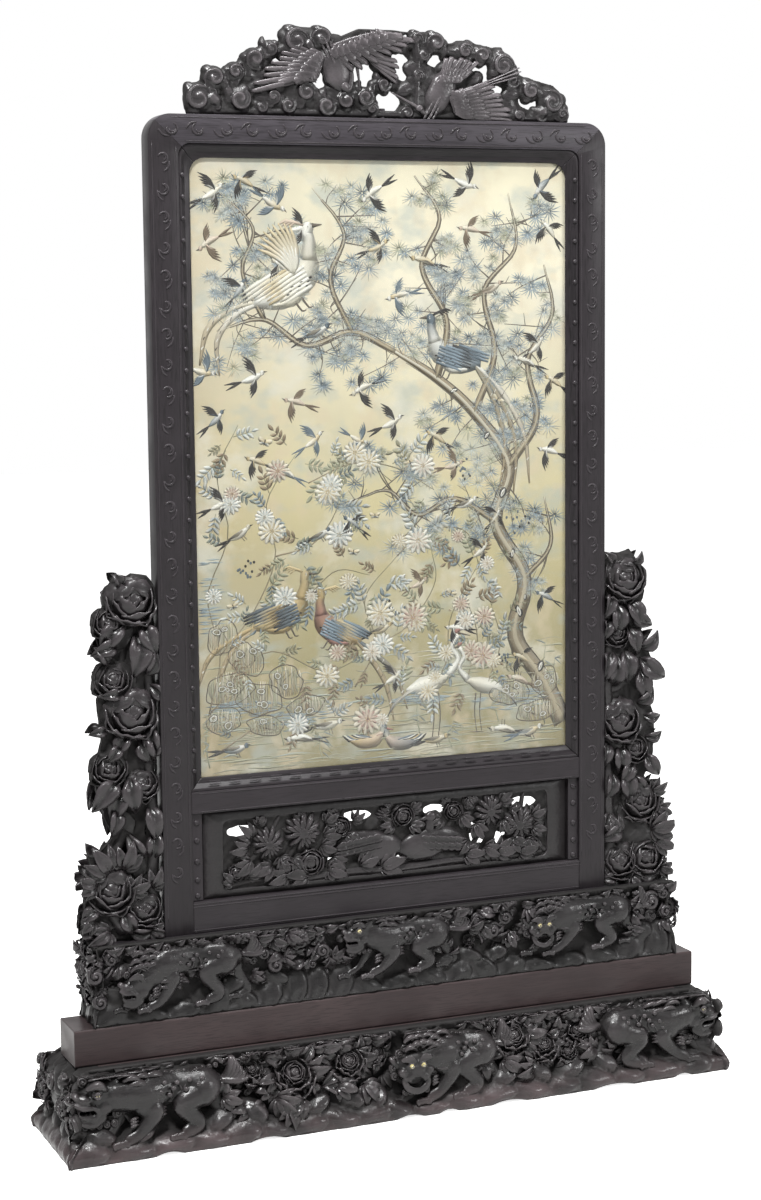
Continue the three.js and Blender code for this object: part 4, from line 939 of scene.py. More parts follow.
def lion(board, limit, body, head, way, low, girth, head_size, eyes, front=False):
    """A crouching lion cut in high relief. body is (x, z, half length) and head (x, z); way is -1 where it
    faces left; low is the level of its feet. Its height over the ground is in girths."""
    (bx, bz, length), (hx, hz) = body, head
    r, s, d = girth, head_size, way
    rump, hip, chest = bx - d * length, bx - d * length * 0.62, bx + d * length * 0.58
    dice = random.Random(int(bx) + 900)
    lay = Lay(board, limit, 2.2 * r)

    def at(x, z, lift):
        return np.array([x, -lift * r, z])

    def strand(points, radii, size=r, **grid):
        return tube([at(*p) for p in points], [size * k for k in radii], **grid)

    def leg(x, z, lift, points, thick):
        line = [(x, z, lift)] + [(x + d * a * r, b, lift + c) for a, b, c in points]
        forms = [strand(line, (1.0, 0.86, 0.54, 0.52), thick * r, sides=14, steps=26)]
        px, pz = line[-1][:2]
        for toe in (-1.5, -0.5, 0.5, 1.5):
            spot = at(px + d * r * 0.22 + toe * r * 0.22, pz - 1 - abs(toe) * 1.5, lift + 0.16)
            forms.append(ball(spot, (r * 0.15, r * 0.27, r * 0.22)))
        return forms

    neck = ((chest + hx) / 2, (bz + hz) / 2 + 2, 0.95)
    forms = [strand([(rump, bz - 4, 0.6), (hip, bz + 1, 0.85), (bx - d * 4, bz + r * 0.14, 0.6),
                     (chest, bz + 1, 0.95),
                     neck, (hx - d * s * 0.15, hz, 0.9)], (0.5, 0.94, 0.84, 1.0, 0.94, 0.8), sides=20,
                     steps=36),
             ball(at(hip + d * r * 0.1, bz - 6, 1.2), (r * 0.96, r * 0.76, r * 0.86), (0, d * 0.5, 0)),
             ball(at(chest + d * r * 0.1, bz - 4, 1.15), (r * 0.84, r * 0.76, r * 1.02), (0, -d * 0.4, 0))]
    for x, z, lift, thigh, knee, foot, thick in (
        (hip, 0.25, 1.3, (1.3, 0.72, 0.1), (0.45, 0.7, -0.05), (1.4, 8, 0.0), 0.68),
        (chest, 0.4, 1.35, (-0.35, 0.9, 0.1), (0.45, 0.65, 0.0), (1.3, 8, 0.0), 0.60),
        (rump + d * r * 0.2, 0.3, 0.55, (0.2, 0.9, 0.0), (-0.55, 0.6, 0.0), (0.15, 9, 0.1), 0.48),
        (chest + d * r * 0.7, 0.4, 0.7, (0.5, 0.8, 0.0), (1.25, 0.7, 0.1), (2.0, 10, 0.1), 0.42),
    ):
        points = ((thigh[0], bz - thigh[1] * r, thigh[2]), (knee[0], low + knee[1] * r, knee[2]),
                  (foot[0], low + foot[1], foot[2]))
        forms += leg(x, bz - r * z, lift, points, thick)
    found, mid = [lay.up(sum(span(eye)) / 2) for eye in eyes], at(hx, hz, 1.1)
    if eyes:
        mid = np.mean(found, axis=0) + np.array([0, 0.66, -0.20] if front else [-d * 0.20, 0.76, -0.24]) * s
    forms += face(mid, s, d, front)
    forms += [ball(e + (0, 5.0 if front else 7.0, 0), (s * 0.20, 7.0, s * 0.17)) for e in found]
    extras = [fused(forms, 1.9, 2)]
    for e in found:
        for lift in (1, -1):
            extras.append(tube([e + (-6.8, -0.4, 0), e + (0, -3.6, lift * 4.2), e + (6.8, -0.4, 0)],
                               [1.2, 3.3, 1.2], sides=6, steps=9))
    # snail curls about the head, then long locks that stream back over neck and shoulder
    for k in range(11):
        a = math.pi * ((-0.10 + 0.12 * k) if front else (0.28 + 0.098 * k))
        reach = s * (0.92 if front else 0.90 + 0.10 * (k % 2))
        spot = mid + ((1 if front else d) * math.cos(a) * reach, s * 0.02 if front else -s * 0.22,
                      math.sin(a) * reach * 0.92)
        extras.append(curl(spot, s * dice.uniform(0.21, 0.29), dice.uniform(0, 6), k % 2 == 0))
    for row in range(3):
        for k in range(9 - row):
            a = math.pi * (0.34 + 0.088 * k + 0.05 * row)
            c, n = math.cos(a), math.sin(a)
            reach, long = s * (0.98 + 0.34 * row), s * dice.uniform(0.62, 0.86)
            x, z, lift = mid[0] + d * c * reach, mid[2] + n * reach * 0.85, 1.62 - 0.17 * row
            extras.append(strand([(x, z, lift), (x - d * long * 0.42, z + n * long * 0.34, lift + 0.06),
                                  (x - d * long * 0.82, z + n * long * 0.22 - 2, lift - 0.02),
                                  (x - d * long * 1.1, z - 5 - n * 2, lift - 0.18)],
                                  (0.05, 0.12, 0.10, 0.02), s,
                                 steps=12, ridges=3, ridge=0.2))
    for k in range(5):
        across = (0.5 - 0.25 * k) * s if front else d * s * (0.60 - 0.27 * k)
        extras.append(curl(mid + (across, -s * 0.2, -s * (0.98 if front else 0.95)), s * 0.17, k * 1.7,
                           k % 2 == 0))
    # beads along the flank, and ridges along the back, the flank and the haunch
    for k in range(14):
        x, z = bx - d * length * (0.52 - 0.085 * k), bz + r * (0.52 - 0.34 * (k % 3) + 0.1 * math.sin(k))
        extras.append(ball(at(x, z, 1.76 - 0.12 * (k % 3 == 0)), (r * 0.15, r * 0.09, r * 0.14), sides=8,
                           rings=5))
    for size, line in (
        (0.075, ((rump, 0, 0.3, 0.9), (hip, 0, 0.86, 1.1), (bx, 0, 0.66, 1.15), (chest, 0, 0.86, 1.2))),
        (0.07, ((hip, 1.0, 0.5, 1.4), (hip, 1.25, -0.1, 1.55), (hip, 1.05, -0.7, 1.55))),
        (0.06, ((hip, 1.35, -0.35, 1.3), (bx, 0, -0.5, 1.35), (chest, -0.7, -0.4, 1.4))),
        (0.07, ((chest, -0.6, 0.5, 1.4), (chest, -0.86, -0.1, 1.6), (chest, -0.5, -0.8, 1.6))),
        (0.05, ((bx, 0.4, 0.45, 1.45), (bx, 0.2, 0, 1.6), (bx, 0.35, -0.4, 1.5))),
        (0.05, ((bx, -0.1, 0.45, 1.45), (bx, -0.3, 0, 1.6), (bx, -0.15, -0.4, 1.5))),
    ):
        points = [(x + d * r * along, bz + r * up, lift) for x, along, up, lift in line]
        extras.append(strand(points, (0.4, 1, 1, 0.4), r * size, sides=6, steps=16))
    # a ridge of curls down the spine, a tail like a flame and tufts at the joints
    for k in range(11):
        spot = at(rump + d * length * (0.12 + 0.128 * k), bz + r * (0.90 - 0.10 * math.sin(k * 0.33)), 1.0)
        extras.append(curl(spot, r * 0.17, k * 2.1, k % 2 == 0))
    for k in range(6):
        up, out = r * (0.15 + 0.24 * k), r * (1.45 - 0.17 * k)
        extras.append(strand([(rump + d * 4, bz + r * 0.1, 0.9),
                              (rump - d * out * 0.5, bz + up * 0.2, 1.15 - 0.06 * k),
                              (rump - d * out * 0.9, bz + up * 0.8, 1.1),
                              (rump - d * out * 0.75, bz + up * 1.3 + 4, 0.9)], (0.16, 0.22, 0.15, 0.02),
                             steps=18, ridges=3, ridge=0.2))
    for x, z in ((hip + d * r * 0.75, bz - r * 0.95), (chest - d * r * 0.5, bz - r * 1.15),
                 (chest + d * r, low + r)):
        for k in range(3):
            extras.append(strand([(x, z + k * 5, 1.6), (x - d * 8, z + 4 + k * 5, 1.62),
                                  (x - d * 17, z + 1 + k * 6, 1.35)], (0.09, 0.10, 0.02), sides=6, steps=8))
    return [lay.down(f) for f in extras]


def stud(board, x, z, lift, form, size, spin=0.0, extra=0.0):
    """A motif set on a carved board, square to its lean"""
    return form.spun((0, spin, 0), size).put(board.point(x, z, lift), (board.lean(z) + extra, 0, 0))


def curls_on(board, lift, places):
    return [stud(board, x, z, lift, CURL, r, x * 0.7) for x, z, r in places]


def leaves_on(board, lift, tilt, twist, places):
    return [leaf(board.point(x, z, lift), length, angle, tilt, twist * math.sin(x))
            for x, z, length, angle in places]


def flower_group(board, x, z, size, lift, which, leaves):
    """A flower with fingered leaves behind it"""
    forms = [stud(board, x, z, lift + size * 0.3, OPEN_PEONIES[which % 3], size, which * 0.9, -0.4)]
    dice = random.Random(int(x * 7 + z))
    for k in range(leaves):
        angle = TAU * (k + dice.uniform(-0.25, 0.25)) / leaves
        dx, dz = math.sin(angle) * size * 0.62, math.cos(angle) * size * 0.62
        forms.append(leaf(board.point(x + dx, z + dz, lift + dice.uniform(2, 9)),
                          size * dice.uniform(0.85, 1.2),
                          angle + dice.uniform(-0.3, 0.3), dice.uniform(0.15, 0.5), dice.uniform(-0.4, 0.4),
                          BROAD if k % 2 else SPRAY))
    return forms


def backdrop(board, seed, low, high, step, span_x, size, lift, hollows=()):
    """Leaves, curls and buds in rows that fill the ground between the figures, but for the deep hollows"""
    dice = random.Random(seed)
    forms = []
    for row in range(4):
        x = -span_x + row * step / 4
        while x < span_x:
            z = low + (high - low) * (row + dice.uniform(0.1, 0.9)) / 4
            kind = dice.random()
            spot = board.point(x, z, lift + dice.uniform(0, 7) + 0.5 * board.sink * (z > high - 8))
            if any(((x - a) / p) ** 2 + ((z - b) / q) ** 2 < 1 for a, b, p, q in hollows):
                kind = 2.0
            if kind < 0.70:
                forms.append(leaf(spot, size * dice.uniform(1.0, 1.7), dice.uniform(-2.8, 2.8),
                                  dice.uniform(0.1, 0.6),
                                  dice.uniform(-0.5, 0.5), SPRAY_LIGHT if kind < 0.34 else BROAD_LIGHT))
            elif kind < 0.84:
                forms.append(curl(spot, size * dice.uniform(0.35, 0.5), dice.uniform(0, 6),
                                  dice.random() < 0.5))
            elif kind < 1.0:
                forms.append(PEONY_LIGHT.put(spot, (-0.4, dice.uniform(0, 6), 0), size * 0.5))
            x += step * dice.uniform(0.8, 1.3)
    top = board.bottom + board.height
    for x in np.arange(-span_x, span_x + 1, size * 1.1):
        spot = board.point(x, top - dice.uniform(8, 15), 0.5 * board.sink)
        forms.append(leaf(spot, size * dice.uniform(1.0, 1.4),
                          dice.choice((-1, 1)) * dice.uniform(0.9, 1.9), 0.5, 0.0, BROAD_LIGHT))
    return forms


SIDES = {"front": 0, "right": math.pi / 2, "back": math.pi, "left": -math.pi / 2}


def cut_board(name, board, ground, forms, replaced, low, high, material):
    """The board with all that is cut on it, turned to face its side"""
    side = next(side for side in SIDES if f"_{side}_" in name)
    whole = joined([ground] + [kept_in(f, np.array(low), np.array(high)) for f in forms])
    # the relief darkens low parts with painted shade and lightens raised parts with painted highlight; the
    # ground near the top edge gets none, so it takes the full painted shade
    up = board.up(whole.points[:, 2])
    out = -whole.points[:, 1] - board.inner - board.out(up) + board.sink
    share = np.maximum(out / (1.25 * board.sink), np.clip(1 - up / 0.16, 0, 1) * 0.8)
    height = relief_of(whole.points, np.maximum(out, 0.1), np.clip(share, 0, 1))
    height[:len(ground.points)] *= 1 - np.clip((up[:len(ground.points)] - 0.86) / 0.08, 0, 1)
    piece(name, whole.spun((0, 0, SIDES[side])), "stand", material, (replaced,), height,
          MOST_TRIANGLES if side == "front" else 130_000)


# The foot

FOOT_BLOCK, FOOT_LIMIT = ((-612.8, -121.9, 0.2), (612.8, 300.0, 143.2)), 121.8
FOOT_END_BLOCK = (-121.8, -612.9, 0.2), (121.8, -300.0, 143.2)
front = lion(BASE_FRONT, FOOT_LIMIT, (-424, 102, 84), (-562, 108), -1, 22, 32, 46, ["base_eye_1"])
front += lion(BASE_FRONT, FOOT_LIMIT, (96, 100, 60), (0, 92), -1, 20, 31, 40, ["base_eye_2", "base_eye_3"],
              True)
front += lion(BASE_FRONT, FOOT_LIMIT, (446, 102, 82), (566, 108), 1, 24, 32, 44, ["base_eye_4"])
for x, z, size, which, leaves in (
    (-214, 96, 38, 0, 8), (-114, 102, 34, 1, 8), (196, 106, 36, 2, 8), (252, 84, 29, 0, 7),
    (322, 100, 26, 1, 7), (-286, 112, 24, 2, 6), (-60, 110, 20, 0, 6), (300, 66, 20, 1, 5),
):
    front += flower_group(BASE_FRONT, x, z, size, 10, which, leaves)
front += leaves_on(BASE_FRONT, 22, 0.35, 0.3, (
    (-262, 128, 46, 0.6), (-232, 134, 42, 1.4), (-166, 130, 44, 1.5), (-140, 134, 40, 1.2),
    (-70, 132, 40, 0.9), (-250, 64, 52, 2.2), (-200, 58, 46, -2.4), (-228, 46, 40, 3.0),
    (-140, 68, 40, 1.9), (-90, 66, 42, 2.6), (152, 130, 42, -0.8), (132, 76, 38, 2.9), (170, 70, 44, 2.0),
    (220, 132, 46, 1.3), (285, 128, 42, 1.1), (352, 72, 38, -2.0), (230, 54, 40, -1.8),
    (-342, 76, 38, 1.9), (380, 124, 34, -1.0), (110, 134, 38, 1.3),
))
front += backdrop(BASE_FRONT, 5, 48, 138, 22, 592, 23, 8, (
    (-400, 62, 50, 24), (-492, 78, 20, 26), (-4, 46, 34, 34), (482, 62, 40, 24), (-600, 74, 30, 26),
    (96, 56, 20, 18), (392, 92, 16, 20), (-66, 70, 16, 16), (268, 62, 18, 14), (-322, 96, 16, 18),
))
cut_board("foot_front_carving", BASE_FRONT, BASE_FRONT.ground(BASE_END_PROFILE, 400, scallops), front,
          "base_front_carving", *FOOT_BLOCK, WOOD_FOOT)
back = []
for k, x in enumerate(range(-540, 560, 90)):
    back += flower_group(BASE_BACK, x, 86 + 12 * math.sin(k * 2.1), 38 + 5 * math.sin(k * 1.3), 10, k, 8)
back += backdrop(BASE_BACK, 9, 40, 136, 21, 596, 26, 8)
cut_board("foot_back_carving", BASE_BACK, BASE_BACK.ground(BASE_END_PROFILE, 300, scallops), back,
          "base_back_carving", *FOOT_BLOCK, WOOD_FOOT)
for side, seed in (("left", 3), ("right", 6)):
    forms = flower_group(BASE_END, -60, 88, 30, 8, seed, 5) + flower_group(BASE_END, 70, 94, 28, 8,
                                                                           2 + seed, 5)
    forms += curls_on(BASE_END, 18, ((-100, 76, 19), (-20, 108, 20), (8, 70, 18), (104, 74, 19),
                                     (-104, 118, 16),
                                     (34, 122, 17)))
    cut_board(f"foot_{side}_carving", BASE_END, BASE_END.ground(BASE_PROFILE, 70), forms,
              f"base_{side}_carving", *FOOT_END_BLOCK, WOOD_FOOT)

# The plinth

PLINTH_BLOCK, PLINTH_LIMIT = ((-552.5, -61.0, 205.8), (552.5, 300.0, 337.4)), 61.0
PLINTH_END_BLOCK = (-45.5, -553.0, 205.8), (45.5, -300.0, 337.4)
front = lion(PLINTH_FRONT, PLINTH_LIMIT, (-368, 298, 86), (-466, 268), -1, 222, 27, 35, [])
front += lion(PLINTH_FRONT, PLINTH_LIMIT, (22, 298, 76), (-78, 310), -1, 232, 27, 33, ["plinth_eye_1"])
front += lion(PLINTH_FRONT, PLINTH_LIMIT, (372, 300, 84), (272, 285), -1, 232, 27, 33,
              ["plinth_eye_2", "plinth_eye_3"], True)
front += curls_on(PLINTH_FRONT, 12, (
    (-538, 292, 21), (-530, 246, 16), (-510, 316, 16), (-224, 274, 18), (-244, 296, 13), (-140, 288, 16),
    (-160, 318, 14), (180, 288, 18), (204, 308, 15), (150, 312, 13), (494, 306, 22), (524, 284, 16),
    (520, 318, 14),
))
front += leaves_on(PLINTH_FRONT, 10, 0.3, 0.2, (
    (-262, 322, 38, 1.4), (-232, 318, 34, 1.9), (-196, 308, 34, 1.2), (-180, 326, 32, 1.7),
    (134, 292, 34, 1.0), (158, 300, 34, 2.5), (210, 276, 30, 2.6), (100, 322, 38, 1.3),
    (-120, 270, 28, 0.9), (-490, 322, 30, -1.2), (452, 262, 30, 1.9), (-292, 322, 30, 0.6),
))
front += backdrop(PLINTH_FRONT, 15, 252, 330, 22, 532, 20, 4, (
    (-356, 258, 34, 18), (-420, 250, 20, 16), (24, 258, 30, 18), (-52, 262, 16, 16), (376, 258, 34, 18),
    (272, 248, 22, 16), (440, 300, 14, 14), (110, 290, 14, 16),
))
cut_board("plinth_front_relief", PLINTH_FRONT, PLINTH_FRONT.ground(PLINTH_PROFILE, 360), front,
          "plinth_front_carving", *PLINTH_BLOCK, WOOD_CARVED)
back = []
for k, x in enumerate(range(-490, 510, 82)):
    back += flower_group(PLINTH_BACK, x, 280 + 10 * math.sin(k * 1.7), 34 + 4 * math.sin(k), 4, k, 8)
back += backdrop(PLINTH_BACK, 19, 246, 330, 21, 530, 22, 4)
cut_board("plinth_back_relief", PLINTH_BACK, PLINTH_BACK.ground(PLINTH_PROFILE, 280), back,
          "plinth_back_carving", *PLINTH_BLOCK, WOOD_CARVED)
for side, seed in (("left", 13), ("right", 16)):
    forms = flower_group(PLINTH_END, -6, 292, 30, 4, seed, 8) + [stud(PLINTH_END, 20, 262, 8, CURL, 17)]
    forms += backdrop(PLINTH_END, seed, 246, 328, 16, 42, 20, 4)
    cut_board(f"plinth_{side}_relief", PLINTH_END, PLINTH_END.ground(PLINTH_PROFILE, 40), forms,
              f"plinth_{side}_carving", *PLINTH_END_BLOCK, WOOD_CARVED)


# The side wings: peonies on stems, carved through, finished on both faces

def wing(node, flowers, blades, sprays, stems):
    forms = []
    for x, z, size, tilt, which in flowers:
        flower = PEONIES[which % 3].spun((0, which * 1.3, 0), size * 1.02).spun((-tilt, 0, 0))
        forms.append(flower.moved(lambda p: p * (1, 0.78, 1)).put((x, -6, z)))
    for x, z, length, angle, twist in blades:
        tilt = 0.22 + 0.12 * math.sin(z)
        forms.append(leaf((x, -9, z), length, angle, tilt, twist + 0.3 * math.sin(x + z), BROAD))
    for x, z, length, angle in sprays:
        forms.append(leaf((x, -12, z), length, angle, 0.25, 0.1, SPRAY if z < 520 else BROAD))
    forms += [f.mirrored() for f in forms]
    forms += [tube(line, radii, sides=10, steps=40, ridges=5, ridge=0.06) for line, radii in stems]
    low, high = span(node)
    whole = joined([kept_in(f, low + 0.1, high - 0.1) for f in forms] + [worn(node, 3.0, 4, 0.62, 5.5)])
    out = np.abs(whole.points[:, 1])
    # the relief share is cut to 0.75, so the wings take more painted shade
    piece(node + "_carving", whole, "stand", WOOD_CARVED, (node,),
          relief_of(whole.points, out, 0.75 * out / high[1]), 150_000)


# places, sizes, tilts and kinds of the flowers
WING_FLOWERS = {
    -1: [
        (-452, 900, 43, 0.55, 0), (-490, 866, 27, 0.3, 1), (-486, 772, 31, 0.35, 2),
        (-456, 716, 45, 0.5, 0), (-496, 626, 30, 0.3, 1), (-498, 424, 40, 0.4, 2),
        (-442, 386, 33, 0.6, 0), (-442, 596, 30, 0.7, 1),
    ], 1: [
        (455, 888, 41, 0.5, 1), (446, 634, 43, 0.5, 0), (476, 582, 29, 0.3, 1), (488, 484, 37, 0.5, 2),
        (446, 378, 36, 0.4, 0), (500, 380, 38, 0.2, 1), (440, 792, 26, 0.4, 2),
    ],
}
# places, lengths, directions and twists of the long leaves
WING_BLADES = {
    -1: [
        (-436, 862, 56, 2.7, 0.2), (-468, 866, 60, -2.5, 0.1), (-446, 846, 66, 3.1, 0.0),
        (-428, 830, 60, -2.7, 0.1), (-478, 830, 46, -1.9, 0.0), (-430, 776, 52, 0.3, 0.2),
        (-426, 760, 44, 2.0, 0.0), (-424, 690, 50, 3.0, 0.1), (-462, 684, 46, -2.6, 0.1),
        (-442, 676, 52, 2.7, 0.0), (-428, 640, 40, 0.4, 0.1), (-430, 560, 60, 3.0, 0.0),
        (-470, 590, 56, -2.7, 0.1), (-486, 560, 46, -2.9, 0.0), (-446, 470, 50, -0.5, 0.0),
        (-428, 470, 54, 0.1, 0.1), (-520, 396, 40, -2.2, 0.1), (-480, 386, 46, 2.6, 0.0),
        (-526, 356, 36, -1.5, 0.1), (-470, 352, 44, 1.6, 0.0),
    ], 1: [
        (430, 862, 50, -2.6, 0.1), (462, 850, 56, 2.7, 0.0), (440, 846, 60, 3.1, 0.1),
        (470, 832, 48, 2.2, 0.0), (424, 820, 44, -2.8, 0.1), (462, 800, 50, 2.8, 0.0),
        (430, 760, 60, -2.8, 0.1), (456, 760, 60, 3.0, 0.0), (430, 700, 50, 0.2, 0.1),
        (424, 596, 50, -2.8, 0.0), (446, 590, 56, 3.1, 0.1), (456, 540, 56, 2.9, 0.0),
        (432, 540, 50, -2.9, 0.1), (470, 532, 46, 2.4, 0.0), (430, 470, 46, -2.7, 0.0),
        (450, 440, 50, -2.0, 0.1), (424, 420, 50, 0.1, 0.0), (480, 352, 44, 1.6, 0.0),
        (440, 346, 36, -1.6, 0.1),
    ],
}
# places, lengths and directions of the fingered leaves
WING_SPRAYS = {
    -1: [
        (-470, 926, 30, -0.6), (-494, 800, 36, -0.7), (-474, 748, 34, -1.6), (-500, 690, 30, -1.7),
        (-476, 664, 36, -2.4), (-484, 606, 62, -2.4), (-462, 610, 58, 3.0), (-500, 452, 56, -0.6),
        (-478, 456, 50, 0.3), (-520, 436, 46, -1.3), (-470, 420, 40, 1.2), (-528, 380, 34, -2.2),
        (-500, 356, 44, -2.0), (-438, 352, 36, 1.8), (-430, 420, 40, 0.4),
    ], 1: [
        (432, 916, 28, -0.7), (470, 914, 28, 0.7), (484, 762, 46, 0.9), (486, 744, 60, 2.2),
        (486, 724, 56, 2.9), (480, 664, 40, 0.9), (492, 640, 34, 1.6), (496, 600, 34, 1.3),
        (496, 570, 48, 2.5), (470, 556, 44, -2.6), (508, 500, 34, 1.1), (516, 470, 36, 1.9),
        (506, 430, 56, 1.3), (516, 410, 44, 1.9), (440, 430, 40, -0.5), (524, 360, 34, 1.9),
        (470, 352, 36, 2.8),
    ],
}
WING_STEMS = [
    ([(424, 0, 342), (428, 2, 430), (422, -3, 520), (430, 3, 610), (421, -2, 700), (428, 2, 800),
      (424, 0, 905)], [15, 13, 12, 12, 11, 10, 8]),
    ([(470, 0, 345), (500, 3, 400), (496, -2, 470), (470, 3, 530), (478, 0, 600), (462, 2, 690),
      (474, -2, 770), (458, 0, 880)], [18, 14, 10, 10, 9, 9, 8, 7]),
    ([(424, 0, 430), (462, 3, 455), (500, 0, 430)], [10, 8, 7]),
    ([(424, 0, 560), (450, 2, 590), (486, 0, 610)], [9, 8, 6]),
    ([(424, 0, 690), (450, -2, 700), (480, 0, 760)], [9, 8, 6]),
    ([(424, 0, 830), (440, 2, 860), (474, 0, 872)], [8, 7, 5]),
]
for sign, node in ((-1, "left_wing"), (1, "right_wing")):
    stems = [([(sign * x, y, z) for x, y, z in line], radii) for line, radii in WING_STEMS]
    wing(node, WING_FLOWERS[sign], WING_BLADES[sign], WING_SPRAYS[sign], stems)


# The crest: two cranes among clouds

def fan(a, b, turns, lengths, count, wide, y=-9.0, rows=3):
    """Feathers set along an arm from a to b. Angles are clockwise from straight up, lengths from the first
    feather to the last; shorter rows lie over the first."""
    forms = []
    for row, shorter in enumerate((1.0, 0.62, 0.34)[:rows]):
        for k in range(count):
            t = (k + 0.5 * (row % 2)) / count
            size = (lengths[0] + (lengths[1] - lengths[0]) * t) * shorter * (1 + 0.05 * math.sin(k * 2.3))
            at = (a[0] + (b[0] - a[0]) * t, y - 2.2 * row - 0.8 * (k % 2), a[1] + (b[1] - a[1]) * t)
            blade = FEATHER.spun((0.05, 0, 0.6)).moved(lambda p: p * (wide * (6 + 2 * row), 70, size))
            forms.append(blade.put(at, (0, turns[0] + (turns[1] - turns[0]) * t, 0)))
    arm = [(a[0], y - 3, a[1]), ((a[0] + b[0]) / 2, y - 4, (a[1] + b[1]) / 2 + 2), (b[0], y - 2, b[1])]
    return forms + [tube(arm, [6, 4.5, 2.5], sides=10, flat=0.7)]


def crane(body, head, fans):
    """A crane in flight: body is its middle, length and direction; head leads along the neck, then to the
    head and to the tip of the beak"""
    bx, bz, length, angle = body
    dx, dz = math.sin(angle) * length / 2, math.cos(angle) * length / 2
    trunk = [(bx + dx * q, y, bz + dz * q) for q, y in ((-1, -3), (-0.4, -7), (0.35, -8), (1, -6))]
    neck = [(x, -8 - 0.6 * k, z) for k, (x, z) in enumerate(head[:-1])]
    neck.insert(0, (bx + dx * 0.6, -8, bz + dz * 0.6))
    (hx, hz), (tip_x, tip_z) = head[-2:]
    beak = [(hx, -11, hz), ((hx + tip_x) / 2, -11, (hz + tip_z) / 2), (tip_x, -10, tip_z)]
    forms = [tube(trunk, [9, 22, 24, 11], sides=16, flat=0.45),
             tube(neck, [11, 6.2, 4.8, 4.6, 4.4], sides=12, steps=34),
             ball((hx, -11, hz), (7, 5, 6)), tube(beak, [3.6, 2.4, 0.8])]
    for part in fans:
        forms += fan(*part)
    for k in range(30):
        share, off = (k // 3) / 9, 7 * (k % 3 - 1)
        x = bx - dx * (0.9 - 1.5 * share) + off * math.cos(angle)
        z = bz - dz * (0.9 - 1.5 * share) - off * math.sin(angle)
        plume = FEATHER.spun((0.10, 0, 0), 13).moved(lambda p: p * (2.6, 1, 1))
        forms.append(plume.put((x, -16.5 + abs(off) * 0.35 + abs(share - 0.5) * 6, z),
                               (0, angle + math.pi, 0)))
    return forms


def cloud(x, z, r, flip=False, spin=0.0):
    """A rolled cloud: a puff with a spiral on it, cut on both faces"""
    r *= 1.3
    deep = min(r * 0.72, 14.5)
    way = spin + (0.9 if flip else -0.9)
    tail = [(x + r * q * math.cos(way) - g * r * math.sin(way), 0,
             z + r * q * math.sin(way) + g * r * math.cos(way))
            for q, g in ((0.2, 0.5), (0.9, 0.55), (1.5, 0.2))]
    forms = [ball((x, 0, z), (r, deep, r * 0.95), sides=20, rings=12),
             tube(tail, [r * 0.55, r * 0.45, r * 0.16], sides=10, steps=12, flat=1.2)]
    for k in range(3):
        a = spin + 2.1 * k
        spot = (x + r * 0.72 * math.cos(a), 0, z + r * 0.66 * math.sin(a))
        forms.append(ball(spot, (r * 0.5, deep * 0.8, r * 0.5)))
    spiral = []
    for t in np.linspace(0, 1, 22):
        a, rho = spin + (-1 if flip else 1) * TAU * 1.35 * t, 0.84 - 0.70 * t
        y = -deep * math.sqrt(1 - rho**2) - 0.4
        spiral.append((x + rho * r * math.cos(a), y, z + 0.95 * rho * r * math.sin(a)))
    ridge = tube(spiral, [r * 0.08, r * 0.15, r * 0.13, r * 0.09], sides=6, steps=30)
    return forms + [ridge, ridge.mirrored()]


crest = []
for x, z, r, flip in (
    (-322, 1705, 22, False), (-294, 1738, 17, True), (-258, 1749, 14, False), (-224, 1770, 16, True),
    (-196, 1788, 12, False), (-153, 1801, 21, False), (-108, 1807, 17, True), (-252, 1706, 18, True),
    (-194, 1712, 13, False), (-214, 1694, 11, True), (-168, 1698, 13, True), (-136, 1720, 17, False),
    (-101, 1698, 16, True), (-66, 1708, 15, False), (-32, 1714, 15, True), (-20, 1696, 12, False),
    (2, 1736, 13, True), (62, 1812, 12, False), (96, 1806, 16, True), (74, 1786, 12, True),
    (150, 1794, 15, False), (182, 1788, 14, True), (220, 1772, 20, False), (238, 1748, 13, True),
    (272, 1732, 16, False), (312, 1714, 20, True), (331, 1694, 14, False), (292, 1689, 11, True),
    (64, 1752, 11, False), (44, 1690, 11, True), (-290, 1692, 10, True), (250, 1690, 11, False),
    (-300, 1716, 12, False),
):
    crest += cloud(x, z, r, flip, x * 0.37)
for line, radii in (
    ([(-336, 1686), (-200, 1687), (-60, 1687), (60, 1687), (200, 1687), (336, 1686)], [7, 7, 7, 7, 7, 7]),
    ([(-326, 1700), (-290, 1728), (-240, 1754), (-190, 1782), (-140, 1800), (-90, 1796)],
     [9, 8, 8, 8, 10, 9]),
    ([(60, 1815), (64, 1770), (62, 1720), (60, 1690)], [11, 9, 9, 10]),
    ([(60, 1810), (110, 1794), (170, 1787), (215, 1775), (245, 1750), (300, 1720), (326, 1704),
      (330, 1690)], [9, 9, 9, 9, 8, 8, 9, 9]),
    ([(-196, 1690), (-200, 1712), (-224, 1728)], [9, 9, 7]),
    ([(-40, 1690), (-20, 1720), (-16, 1744)], [10, 9, 8]),
    ([(-150, 1690), (-140, 1714), (-150, 1740)], [10, 10, 9]),
    ([(204, 1786), (206, 1764), (196, 1748)], [8, 7, 6]),
):
    crest.append(tube([(x, 0, z) for x, z in line], radii, sides=10, steps=40, flat=1.1))
cranes = crane((-86, 1760, 84, 2.75), [(-62, 1726), (-57, 1744), (-58, 1762), (-48, 1768), (-42, 1728)], [
    ((-92, 1792), (-6, 1820), (2.3, 1.6), (52, 76), 9, 13.0),
    ((-122, 1742), (-106, 1774), (-1.8, -1.1), (112, 44), 9, 12.0),
    ((-34, 1786), (-18, 1770), (1.75, 2.3), (60, 56), 5, 12.0, -7.5, 1),
])
